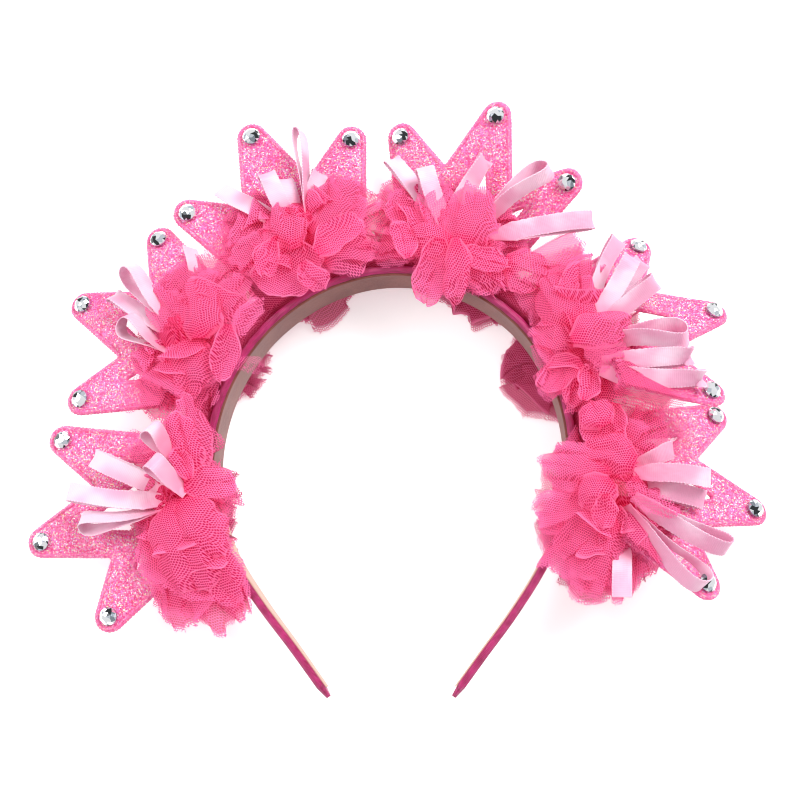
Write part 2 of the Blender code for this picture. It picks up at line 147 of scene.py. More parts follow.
_P = through(BAND_STATIONS, np.linspace(0, len(BAND_STATIONS) - 1, 901))
PATH_XY = _P[:, :2] + np.array(SHIFT)
PATH_W = _P[:, 2]
PATH_S = np.concatenate([[0.0], np.cumsum(np.hypot(*np.diff(PATH_XY, axis=0).T))])
_i = np.arange(901)
_T = PATH_XY[np.minimum(_i + 8, 900)] - PATH_XY[np.maximum(_i - 8, 0)]
_T /= np.linalg.norm(_T, axis=1)[:, None]
PATH_N = np.stack([-_T[:, 1], _T[:, 0]], axis=1)
LENGTH = PATH_S[-1]


def along(s):
    """x, y, outward x, outward y and width at distances s along the band."""
    return tuple(
        np.interp(s, PATH_S, c)
        for c in (PATH_XY[:, 0], PATH_XY[:, 1], PATH_N[:, 0], PATH_N[:, 1], PATH_W)
    )


def band_place(x, y):
    """Distance along the band and outwards from its inner face, for arrays x and y."""
    x, y = np.ravel(x), np.ravel(y)
    near = np.empty(len(x), int)
    for k in range(0, len(x), 4000):
        d = (x[k : k + 4000, None] - PATH_XY[::3, 0]) ** 2
        d += (y[k : k + 4000, None] - PATH_XY[::3, 1]) ** 2
        near[k : k + 4000] = d.argmin(axis=1) * 3
    off = np.stack([x, y], axis=1) - PATH_XY[near]
    return PATH_S[near], (off * PATH_N[near]).sum(axis=1)


def crown_matrix(row):
    x, y, z, heading, lean, roll = row
    m = (
        Matrix.Translation((x + SHIFT[0], y + SHIFT[1], z))
        @ Matrix.Rotation(math.radians(heading - 90.0), 4, "Z")
        @ Matrix.Rotation(math.radians(lean), 4, "X")
        @ Matrix.Rotation(math.radians(roll), 4, "Y")
    )
    return np.array(m)


CROWN_M = [crown_matrix(r) for r in CROWNS]


def put(m, points):
    """Points in a crown's plane turned into the model's frame."""
    points = np.asarray(points, float)
    return points @ m[:3, :3].T + m[:3, 3]


def arc(cx, cy, radius, start, end, steps):
    a = np.radians(np.linspace(start, end, steps + 1))
    return [(cx + radius * math.cos(t), cy + radius * math.sin(t)) for t in a]


def crown_outline():
    half = CROWN_SPAN / 2
    right = [(FOOT_IN_A, FOOT_B), (FOOT_OUT_A, FOOT_B)]
    right += arc(half, 0.0, TIP_RADIUS, -24.0, 118.0, 10)
    right += [(NOTCH_A + 0.5, NOTCH_B + 0.05), (NOTCH_A - 0.4, NOTCH_B + 0.6)]
    middle = arc(0.0, CROWN_RISE, TIP_RADIUS, 20.0, 160.0, 10)
    left = [(-a, b) for a, b in reversed(right)]
    inside = [
        (-SIDE_APEX_A + 0.5, SIDE_APEX_B - 0.9),
        (-SIDE_APEX_A, SIDE_APEX_B),
        (-SIDE_APEX_A + 0.9, SIDE_APEX_B - 0.3),
        (-FOLD_A - 0.8, FOLD_B + 0.3),
        (-FOLD_A + 0.6, FOLD_B),
        (-0.6, MID_APEX_B - 0.5),
        (0.6, MID_APEX_B - 0.5),
        (FOLD_A - 0.6, FOLD_B),
        (FOLD_A + 0.8, FOLD_B + 0.3),
        (SIDE_APEX_A - 0.9, SIDE_APEX_B - 0.3),
        (SIDE_APEX_A, SIDE_APEX_B),
        (SIDE_APEX_A - 0.5, SIDE_APEX_B - 0.9),
    ]
    return np.array(right + middle + left + inside)


def resample(loop, step):
    """A closed outline with points about a step apart."""
    closed = np.vstack([loop, loop[:1]])
    run = np.concatenate([[0], np.cumsum(np.hypot(*np.diff(closed, axis=0).T))])
    n = int(round(run[-1] / step))
    s = np.linspace(0, run[-1], n, endpoint=False)
    return np.stack([np.interp(s, run, closed[:, k]) for k in (0, 1)], axis=1), s


def inside_depth(points, loop):
    """How deep each point lies inside a closed outline; negative outside."""
    points = np.asarray(points, float).reshape(-1, 2)
    a, b = loop, np.roll(loop, -1, axis=0)
    e = b - a
    length = (e**2).sum(axis=1)
    out = np.empty(len(points))
    for k in range(0, len(points), 6000):
        p = points[k : k + 6000]
        w = p[:, None, :] - a[None]
        t = np.clip((w * e).sum(axis=2) / length, 0, 1)
        d = np.sqrt((((w - t[..., None] * e) ** 2).sum(axis=2)).min(axis=1))
        y, x = p[:, 1:2], p[:, 0:1]
        cross = (a[:, 1] > y) != (b[:, 1] > y)
        with np.errstate(divide="ignore", invalid="ignore"):
            at = a[:, 0] + (y - a[:, 1]) / np.where(e[:, 1] == 0, 1e-9, e[:, 1]) * e[:, 0]
        inside = (cross & (x < at)).sum(axis=1) % 2 == 1
        out[k : k + 6000] = np.where(inside, d, -d)
    return out


OUTLINE = crown_outline()


# ---- meshes ----------------------------------------------------------------
def link(name, mesh):
    ob = bpy.data.objects.new(name, mesh)
    bpy.context.scene.collection.objects.link(ob)
    return ob


def build(name, points, faces, materials, face_slots=None, smooth=True, uv=None, attrs=None, sharp=None):
    """An object from points in millimetres. uv and attrs hold one value per point."""
    mesh = bpy.data.meshes.new(name)
    pts = (np.asarray(points, float) * MM).tolist()
    mesh.from_pydata(pts, [], faces.tolist() if hasattr(faces, "tolist") else faces)
    for m in materials:
        mesh.materials.append(m)
    if face_slots is not None:
        mesh.polygons.foreach_set("material_index", np.asarray(face_slots, dtype=np.int32))
    if smooth is True:
        mesh.shade_smooth()
    elif smooth is not False:
        mesh.polygons.foreach_set("use_smooth", np.asarray(smooth, dtype=bool))
    if sharp is not None:
        mesh.set_sharp_from_angle(angle=math.radians(sharp))
    if uv is not None:
        corner = np.empty(len(mesh.loops), dtype=np.int32)
        mesh.loops.foreach_get("vertex_index", corner)
        layer = mesh.uv_layers.new(name="flat")
        layer.data.foreach_set("uv", np.asarray(uv, dtype=np.float32)[corner].ravel())
    for key, values in (attrs or {}).items():
        values = np.asarray(values, dtype=np.float32)
        if values.ndim == 1:
            a = mesh.attributes.new(key, "FLOAT", "POINT")
            a.data.foreach_set("value", values)
        else:
            a = mesh.attributes.new(key, "FLOAT_COLOR", "POINT")
            a.data.foreach_set("color", values.ravel())
    mesh.update()
    return link(name, mesh)


def grid_faces(rows, cols, start=0, wrap=False):
    """Quads of a grid whose points run along its columns first."""
    r = np.arange(rows - 1)[:, None]
    c = np.arange(cols if wrap else cols - 1)[None, :]
    nxt = (c + 1) % cols
    f = np.stack(
        [r * cols + c, r * cols + nxt, (r + 1) * cols + nxt, (r + 1) * cols + c], axis=-1
    )
    return f.reshape(-1, 4) + start


# ---- materials -------------------------------------------------------------
def srgb(r, g, b):
    def lin(v):
        v /= 255.0
        return v / 12.92 if v <= 0.04045 else ((v + 0.055) / 1.055) ** 2.4

    return (lin(r), lin(g), lin(b), 1.0)


class Nodes:
    """A short way to write a node tree."""

    def __init__(self, name):
        self.material = bpy.data.materials.new(name)
        self.material.use_nodes = True
        self.tree = self.material.node_tree
        self.tree.nodes.clear()
        self.out = self.tree.nodes.new("ShaderNodeOutputMaterial")

    def add(self, kind, **values):
        node = self.tree.nodes.new("ShaderNode" + kind)
        for key, value in values.items():
            if key.startswith("i_"):
                self.set(node, int(key[2:]), value)
            elif hasattr(node, key):
                setattr(node, key, value)
            else:
                self.set(node, key.replace("_", " "), value)
        return node

    def set(self, node, key, value):
        socket = node.inputs[key]
        if isinstance(value, bpy.types.NodeSocket):
            self.tree.links.new(value, socket)
        else:
            socket.default_value = value

    def math(self, op, a, b=None, c=None, clamp=False):
        node = self.tree.nodes.new("ShaderNodeMath")
        node.operation = op
        node.use_clamp = clamp
        for k, v in enumerate((a, b, c)):
            if v is not None:
                self.set(node, k, v)
        return node.outputs[0]

    def mix(self, factor, a, b, blend="MIX"):
        node = self.tree.nodes.new("ShaderNodeMix")
        node.data_type = "RGBA"
        node.blend_type = blend
        self.set(node, 0, factor)
        self.set(node, 6, a)
        self.set(node, 7, b)
        return node.outputs[2]

    def ramp(self, factor, stops, mode="LINEAR"):
        node = self.tree.nodes.new("ShaderNodeValToRGB")
        self.set(node, 0, factor)
        r = node.color_ramp
        r.interpolation = mode
        while len(r.elements) < len(stops):
            r.elements.new(0.5)
        for e, (at, colour) in zip(r.elements, stops):
            e.position = at
            e.color = colour
        return node.outputs[0]

    def range(self, value, a, b, c=0.0, d=1.0, smooth=False):
        node = self.tree.nodes.new("ShaderNodeMapRange")
        node.interpolation_type = "SMOOTHSTEP" if smooth else "LINEAR"
        for k, v in enumerate((value, a, b, c, d)):
            self.set(node, k, v)
        return node.outputs[0]

    def coords(self, kind="Object"):
        return self.tree.nodes.new("ShaderNodeTexCoord").outputs[kind]

    def attribute(self, name, output="Fac"):
        node = self.tree.nodes.new("ShaderNodeAttribute")
        node.attribute_name = name
        return node.outputs[output]

    def noise(self, vector, scale, detail=2.0, rough=0.5):
        node = self.add("TexNoise", Vector=vector, Scale=scale, Detail=detail, Roughness=rough)
        return node.outputs[0]

    def bump(self, height, distance, strength=1.0, normal=None):
        node = self.add("Bump", Height=height, Distance=distance, Strength=strength)
        if normal is not None:
            self.set(node, "Normal", normal)
        return node.outputs[0]

    def surface(self, socket):
        self.tree.links.new(socket, self.out.inputs[0])
        return self.material


# gap is the painted shade colour of the net's holes
def tulle_material(name, base, bunched_shade, gap, edge_tint):
    """Fine hexagonal net: round holes on a triangular lattice, read from the flat cloth. Its holes, its bunched middle
    and its lower layers are painted darker as shade, and a faint red emission is a painted glow.
    """
    n = Nodes(name)
    uv = n.tree.nodes.new("ShaderNodeUVMap")
    uv.uv_map = "flat"
    warp = n.add("TexNoise", Vector=uv.outputs[0], Scale=420.0, Detail=0.0)
    shift = n.add("VectorMath", operation="MULTIPLY_ADD", i_0=warp.outputs[1], i_1=(0.0003,) * 3, i_2=uv.outputs[0])
    pitch = 0.00080
    k = 4 * math.pi / (math.sqrt(3) * pitch)
    waves_ = []
    for d in ((1.0, 0.0), (0.5, math.sqrt(3) / 2), (-0.5, math.sqrt(3) / 2)):
        dot = n.add("VectorMath", operation="DOT_PRODUCT", i_0=shift.outputs[0], i_1=(d[0] * k, d[1] * k, 0.0))
        waves_.append(n.math("COSINE", dot.outputs["Value"]))
    lattice = n.math("ADD", n.math("ADD", waves_[0], waves_[1]), waves_[2])
    see = n.attribute("see")
    painted_light_tone = n.attribute("painted_light_tone")
    thin = n.math("MAXIMUM", n.math("MULTIPLY_ADD", see, 2.4, -1.2), 0.0)
    thin = n.math("MULTIPLY", thin, n.math("SUBTRACT", 1.0, painted_light_tone))
    hole = n.range(n.math("ADD", lattice, thin), -0.55, 0.30, smooth=True)
    edge = n.attribute("edge")  # millimetres from the cut or folded edge
    folded = n.attribute("folded")
    line = n.math("MULTIPLY", n.range(edge, 0.15, 1.0, 0.75, 0.0, smooth=True), folded)
    hole = n.math("MULTIPLY", hole, n.math("SUBTRACT", 1.0, line), clamp=True)
    gather = n.attribute("gather")  # 1 where the cloth is bunched
    rim = n.math("MULTIPLY", n.range(edge, 0.6, 3.4, 0.85, 0.0, smooth=True), n.math("SUBTRACT", 1.0, folded))
    open_ = n.math("MULTIPLY", n.math("MAXIMUM", see, rim), n.math("SUBTRACT", 1.6, gather))
    clear = n.math("MULTIPLY", hole, open_, clamp=True)
    solid = n.math("SUBTRACT", 1.0, clear, clamp=True)
    # the cut edge is ragged along the net's holes
    ragged = n.noise(uv.outputs[0], 1200.0, 0.0)
    cut = n.math("GREATER_THAN", edge, n.math("MULTIPLY", n.math("MULTIPLY", ragged, 1.5), n.math("SUBTRACT", 1.0, folded)))
    solid = n.math("MULTIPLY", solid, cut)

    # painted shade: where the net is bunched it is painted towards the darker bunched_shade colour
    colour = n.mix(n.math("MULTIPLY", gather, 0.55), base, bunched_shade)
    # painted shade: layers with a higher painted_light_tone are painted darker, towards a dusky red
    colour = n.mix(painted_light_tone, colour, (0.46, 0.075, 0.15, 1.0))
    # painted shade in the holes: the hole colour stands in for the shaded layers behind, darker still on layers with a
    # higher painted_light_tone
    painted_hole_shade = n.mix(painted_light_tone, gap, (0.20, 0.012, 0.035, 1.0))
    colour = n.mix(n.math("MULTIPLY", hole, n.math("SUBTRACT", 1.0, n.math("MAXIMUM", thin, rim), clamp=True)), colour, painted_hole_shade)
    colour = n.mix(n.math("MULTIPLY", line, 0.5), colour, edge_tint)
    p = n.add("BsdfPrincipled", Base_Color=colour, Roughness=0.8)
    p.inputs["Specular IOR Level"].default_value = 0.04
    p.inputs["Sheen Weight"].default_value = 0.05
    p.inputs["Sheen Roughness"].default_value = 0.4
    p.inputs["Sheen Tint"].default_value = (1.0, 0.55, 0.75, 1.0)
    # painted glow: a faint red emission lifts the net's shade, dimmed by painted_light_tone on the shaded layers
    n.set(p, "Emission Color", n.mix(painted_light_tone, (1.0, 0.015, 0.10, 1.0), (0.10, 0.0, 0.01, 1.0)))
    p.inputs["Emission Strength"].default_value = 0.11
    t = n.add("BsdfTranslucent", Color=colour)
    cloth = n.add("MixShader", i_0=0.42, i_1=p.outputs[0], i_2=t.outputs[0])
    clear = n.add("BsdfTransparent")
    both = n.add("MixShader", i_0=solid, i_1=clear.outputs[0], i_2=cloth.outputs[0])
    m = n.surface(both.outputs[0])
    m.use_backface_culling = False
    return m


def ribbon_material():
    """Single-face satin: fine ribs across the ribbon, a soft sheen along it, a dotted edge, a painted sheen that is
    paler to the left and a painted pink bounce near the root.
    """
    n = Nodes("ribbon_satin")
    uv = n.tree.nodes.new("ShaderNodeUVMap")
    uv.uv_map = "flat"
    split = n.add("SeparateXYZ", Vector=uv.outputs[0])
    across, run = split.outputs[0], split.outputs[1]
    ribs = n.math("SINE", n.math("MULTIPLY", run, 2 * math.pi / 0.00062))
    threads = n.math("SINE", n.math("MULTIPLY", across, 2 * math.pi / 0.00045))
    side = n.math("ABSOLUTE", across)  # metres from the middle line
    border = n.range(side, 0.00268, 0.0029)
    dots = n.range(n.math("SINE", n.math("MULTIPLY", run, 2 * math.pi / 0.00105)), -0.2, 0.6)
    picot = n.math("MULTIPLY", border, dots)
    root = n.attribute("gather")
    patch = n.noise(n.coords(), 75.0, 1.0)
    place = n.add("SeparateXYZ", Vector=n.coords()).outputs[0]
    # painted sheen: the ribbons are painted paler to the left and in noisy patches, in place of satin highlights
    painted_sheen = n.math("MULTIPLY_ADD", place, -0.9, patch)  # paler to the left
    colour = n.mix(n.range(painted_sheen, 0.38, 0.62, smooth=True), srgb(243, 176, 207), srgb(254, 220, 238))
    colour = n.mix(n.math("MULTIPLY", n.range(ribs, -1.0, 1.0), 0.10), colour, srgb(236, 140, 182))
    colour = n.mix(n.math("MULTIPLY", picot, 0.5), colour, srgb(255, 232, 243))
    # painted bounce light: near the root the ribbon is painted pinker, for the pink light the tulle throws on it
    colour = n.mix(n.math("MULTIPLY", root, 0.75), colour, srgb(255, 120, 168))
    height = n.math("ADD", n.math("MULTIPLY", ribs, 0.35), n.math("ADD", n.math("MULTIPLY", threads, 0.12), n.math("MULTIPLY", picot, 0.9)))
    waves = n.noise(n.coords(), 160.0, 2.0)
    normal = n.bump(height, 0.00006, 0.7, n.bump(waves, 0.0020, 0.40))
    rough = n.math("MULTIPLY_ADD", patch, 0.18, 0.30)
    p = n.add("BsdfPrincipled", Base_Color=colour, Roughness=rough, Normal=normal)
    p.inputs["Specular IOR Level"].default_value = 0.55
    p.inputs["Anisotropic"].default_value = 0.5
    p.inputs["Sheen Weight"].default_value = 0.25
    p.inputs["Sheen Roughness"].default_value = 0.35
    p.inputs["Sheen Tint"].default_value = (1.0, 0.85, 0.92, 1.0)
    t = n.add("BsdfTranslucent", Color=colour, Normal=normal)
    both = n.add("MixShader", i_0=0.16, i_1=p.outputs[0], i_2=t.outputs[0])
    return n.surface(both.outputs[0])


def glitter_material():
    """Pink cloth packed with fine iridescent flakes, plainer on the stitched rim, with painted shade in the stitched
    groove.
    """
    n = Nodes("glitter_fabric")
    co = n.coords()
    cells = n.add("TexVoronoi", Vector=co, Scale=2300.0)
    bright = n.add("SeparateColor", Color=cells.outputs["Color"])
    pick = bright.outputs[0]
    big = n.noise(co, 90.0, 2.0)
    base = n.mix(n.range(big, 0.35, 0.7), srgb(244, 84, 146), srgb(244, 92, 168))
    flakes = n.ramp(
        pick,
        (
            (0.0, srgb(216, 44, 110)),
            (0.16, srgb(236, 68, 134)),
            (0.34, srgb(246, 92, 158)),
            (0.52, srgb(250, 116, 184)),
            (0.66, srgb(236, 122, 204)),
            (0.78, srgb(252, 158, 196)),
            (0.90, srgb(255, 232, 200)),
            (0.95, srgb(255, 255, 255)),
        ),
        "CONSTANT",
    )
    rim = n.attribute("rim")
    colour = n.mix(0.72, base, flakes)
    rim_noise = n.noise(co, 1400.0, 2.0)
    rim_colour = n.mix(n.range(rim_noise, 0.35, 0.7), srgb(236, 84, 146), srgb(255, 138, 188))
    colour = n.mix(n.math("MULTIPLY", rim, 0.45), colour, rim_colour)
    # painted shade: the stitched groove inside the rim is painted darker
    groove_shade = n.attribute("groove_shade")
    colour = n.mix(n.math("MULTIPLY", groove_shade, 0.55), colour, srgb(214, 40, 112))
    rough = n.math("MULTIPLY_ADD", bright.outputs[1], 0.4, 0.22)
    cell_bump = n.bump(bright.outputs[2], 0.00022, 0.8)
    fuzz = n.bump(rim_noise, 0.00035, 0.5, cell_bump)
    p = n.add("BsdfPrincipled", Base_Color=colour, Roughness=rough, Normal=fuzz)
    p.inputs["Specular IOR Level"].default_value = 0.6
    p.inputs["Sheen Weight"].default_value = 0.1
    return n.surface(p.outputs[0])


def flake_material():
    n = Nodes("glitter_flake")
    colour = n.attribute("flake", "Color")
    p = n.add("BsdfPrincipled", Base_Color=colour, Roughness=0.24)
    p.inputs["Metallic"].default_value = 0.35
    p.inputs["Specular IOR Level"].default_value = 0.8
    return n.surface(p.outputs[0])


def gem_material():
    """A foil-backed stone: each facet has a painted reflection, a fixed patch of light or dark in its colour."""
    n = Nodes("rhinestone")
    colour = n.attribute("facet_reflection", "Color")
    scratch = n.noise(n.coords(), 900.0, 2.0)
    p = n.add("BsdfPrincipled", Base_Color=colour, Roughness=n.math("MULTIPLY_ADD", scratch, 0.06, 0.03))
    p.inputs["Metallic"].default_value = 0.8
    p.inputs["Coat Weight"].default_value = 0.6
    p.inputs["Coat Roughness"].default_value = 0.03
    return n.surface(p.outputs[0])


def satin_material():
    """Magenta satin pulled along the band, with fine ribs across, small puckers and painted sheen along them."""
    n = Nodes("band_satin")
    co = n.coords()
    puckers_and_sheen = n.noise(n.add("Mapping", Vector=co, Scale=(1.0, 1.0, 6.0)).outputs[0], 260.0, 3.0)
    weave = n.add("TexWave", Vector=co, Scale=900.0, Distortion=1.5, Detail=1.0, bands_direction="DIAGONAL")
    # painted sheen and shade: the colour is lighter and darker along the same streaks that make the puckers
    colour = n.mix(n.range(puckers_and_sheen, 0.3, 0.72), srgb(128, 4, 58), srgb(180, 30, 104))
    colour = n.mix(0.12, colour, n.ramp(weave.outputs[1], ((0.0, srgb(120, 0, 56)), (1.0, srgb(240, 90, 170)))))
    height = n.math("ADD", puckers_and_sheen, n.math("MULTIPLY", weave.outputs[1], 0.12))
    p = n.add("BsdfPrincipled", Base_Color=colour, Roughness=n.math("MULTIPLY_ADD", puckers_and_sheen, 0.2, 0.27), Normal=n.bump(height, 0.0004, 0.6))
    p.inputs["Anisotropic"].default_value = 0.5
    p.inputs["Sheen Weight"].default_value = 0.15
    p.inputs["Sheen Tint"].default_value = (1.0, 0.4, 0.7, 1.0)
    return n.surface(p.outputs[0])


def suede_material():
    n = Nodes("lining_suede")
    co = n.coords()
    nap = n.noise(co, 1500.0, 4.0, 0.65)
    blot = n.noise(co, 110.0, 3.0)
    colour = n.mix(n.range(blot, 0.3, 0.7), srgb(116, 65, 60), srgb(138, 85, 76))
    colour = n.mix(n.math("MULTIPLY", n.range(nap, 0.45, 0.7), 0.45), colour, srgb(86, 50, 46))
    # painted highlight: the lining is painted a light cream towards the ends of the legs, below y = -30 mm
    leg_highlight = n.range(n.add("SeparateXYZ", Vector=co).outputs[1], -0.048, -0.030, 0.85, 0.0, smooth=True)
    colour = n.mix(leg_highlight, colour, srgb(222, 186, 166))
    p = n.add("BsdfPrincipled", Base_Color=colour, Roughness=0.92, Normal=n.bump(nap, 0.00025, 0.6))
    p.inputs["Specular IOR Level"].default_value = 0.15
    p.inputs["Sheen Weight"].default_value = 0.35
    p.inputs["Sheen Roughness"].default_value = 0.5
    return n.surface(p.outputs[0])


def plain_material(name, colour, rough, glow=0.0):
    n = Nodes(name)
    p = n.add("BsdfPrincipled", Base_Color=colour, Roughness=rough)
    p.inputs["Emission Color"].default_value = (1.0, 1.0, 1.0, 1.0)
    p.inputs["Emission Strength"].default_value = glow
    p.inputs["Specular IOR Level"].default_value = 0.2
    return n.surface(p.outputs[0])


TULLE = tulle_material("tulle", (1.0, 0.23, 0.51, 1.0), (0.92, 0.024, 0.14, 1.0), (0.62, 0.0, 0.068, 1.0), (1.0, 0.34, 0.58, 1.0))
RIBBON = ribbon_material()
GLITTER = glitter_material()
FLAKE = flake_material()
GEM = gem_material()
SATIN = satin_material()
SUEDE = suede_material()


# ---- band: the model's solid, with its finish ------------------------------
if not NODES["band"].material_slots:
    NODES["band"].data.materials.append(SATIN)
for slot_ in NODES["band"].material_slots:
    slot_.link = "OBJECT"
    slot_.material = SATIN


# ---- lining: the model's strip, stuck to the band and thin along the legs ----
def make_lining():
    s = np.linspace(3.0, LENGTH - 3.0, 281)
    x, y, nx, ny, w = along(s)
    half = w / 2 - 1.2
    thick = 0.8 - 0.42 * np.clip((-30.0 - y) / 25.0, 0.0, 1.0)
    bevel = thick * 0.3
    out = -0.02 + 0.0 * s
    section = (
        (out, -half),
        (out, half),
        (out - thick + bevel, half),
        (out - thick, half - bevel),
        (out - thick, bevel - half),
        (out - thick + bevel, -half),
    )
    rings = np.stack(
        [np.stack([x + nx * a, y + ny * a, BAND_MID_Z + z], axis=1) for a, z in section], axis=1
    )
    cols = len(section)
    faces = [list(f) for f in grid_faces(len(s), cols, wrap=True)]
    last = (len(s) - 1) * cols
    faces += [list(range(cols)), [last + k for k in range(cols)]]
    ob = build("suede_lining", rings.reshape(-1, 3), faces, [SUEDE], sharp=40)
    bm = bmesh.new()
    bm.from_mesh(ob.data)
    bmesh.ops.recalc_face_normals(bm, faces=bm.faces)
    bm.to_mesh(ob.data)
    bm.free()
    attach(ob, "root")
    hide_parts("lining")


make_lining()


# ---- crowns ----------------------------------------------------------------
def crown_height(depth):
    """Half thickness of the padded cloth at a depth inside the rim."""
    at = (0.0, 0.2, 0.5, 0.95, 1.35, 1.75, 2.4, 3.6, 6.0)
    to = (0.30, 0.72, 1.00, 1.04, 0.78, 0.92, 1.10, 1.24, 1.30)
    return np.interp(depth, at, to)


def crown_points():
    """Points of the crown's face: the scalloped outline, rings along the stitching, a grid."""
    rim, s = resample(OUTLINE, 0.42)
    nxt, prv = np.roll(rim, -1, axis=0), np.roll(rim, 1, axis=0)
    t = nxt - prv
    t /= np.linalg.norm(t, axis=1)[:, None]
    normal = np.stack([t[:, 1], -t[:, 0]], axis=1)
    for _ in range(2):
        normal = normal + np.roll(normal, 1, axis=0) + np.roll(normal, -1, axis=0)
        normal /= np.linalg.norm(normal, axis=1)[:, None]
    rng = np.random.RandomState(5)
    puff = 0.20 * np.abs(np.sin(math.pi * s / 1.26)) - 0.05 + rng.uniform(-0.05, 0.07, len(s))
    outer = rim + normal * puff[:, None]
    rings = []
    for d in (0.4, 0.75, 1.1, 1.4, 1.75):
        ring = rim[::2] - normal[::2] * d
        ring = ring[inside_depth(ring, OUTLINE) > d - 0.06]
        rings.append(ring)
    step = 0.85
    a, b = np.meshgrid(np.arange(-38, 38, step), np.arange(-30, 22, step * 0.866))
    a = a + (np.arange(a.shape[0]) % 2)[:, None] * step / 2
    grid = np.stack([a.ravel(), b.ravel()], axis=1)
    grid = grid[inside_depth(grid, OUTLINE) > 1.95]
    inner = np.vstack(rings + [grid])
    # no two points closer than a third of a millimetre
    keep, seen = [], {}
    for i, p in enumerate(inner):
        key = (round(p[0] / 0.34), round(p[1] / 0.34))
        if key not in seen:
            seen[key] = i
            keep.append(i)
    return outer, inner[keep], s


RIM, INNER, RIM_RUN = crown_points()


def nearest_rim(xy):
    """The outline point nearest to each point of the plane."""
    near = np.empty(len(xy), int)
    for k in range(0, len(xy), 3000):
        p = xy[k : k + 3000]
        near[k : k + 3000] = ((p[:, None, :] - RIM[None]) ** 2).sum(axis=2).argmin(axis=1)
    return near


_all = [Vector(p) for p in np.vstack([RIM, INNER])]
_edges = [(i, (i + 1) % len(RIM)) for i in range(len(RIM))]
_cdt = geometry.delaunay_2d_cdt(_all, _edges, [], 1, 1e-4)
FACE_XY = np.array([(v.x, v.y) for v in _cdt[0]])
FACE_TRIS = np.array([f for f in _cdt[2] if len(f) == 3])
_orig = _cdt[3]
RIM_AT = np.full(len(RIM), -1)
for _k, _o in enumerate(_orig):
    for _v in _o:
        if _v < len(RIM):
            RIM_AT[_v] = _k
FACE_DEPTH = np.maximum(inside_depth(FACE_XY, OUTLINE), 0.0)
FACE_DEPTH[RIM_AT[RIM_AT >= 0]] = 0.0

FLAKE_COLOURS = (
    # share, colour
    (0.19, srgb(250, 250, 250)),
    (0.15, srgb(252, 240, 206)),
    (0.07, srgb(250, 224, 140)),
    (0.16, srgb(232, 176, 240)),
    (0.18, srgb(250, 186, 214)),
    (0.16, srgb(246, 110, 184)),
    (0.09, srgb(226, 60, 140)),
)


def ripple(xy, seed, size):
    """A smooth random height over points of a plane, about -1 to 1."""
    rng = np.random.RandomState(seed)
    out = np.zeros(len(xy))
    for _ in range(5):
        a, k = rng.uniform(0, 2 * math.pi), 2 * math.pi / (size * rng.uniform(0.7, 1.6))
        out += np.sin(k * (xy[:, 0] * math.cos(a) + xy[:, 1] * math.sin(a)) + rng.uniform(0, 6.28))
    return out / 3.0


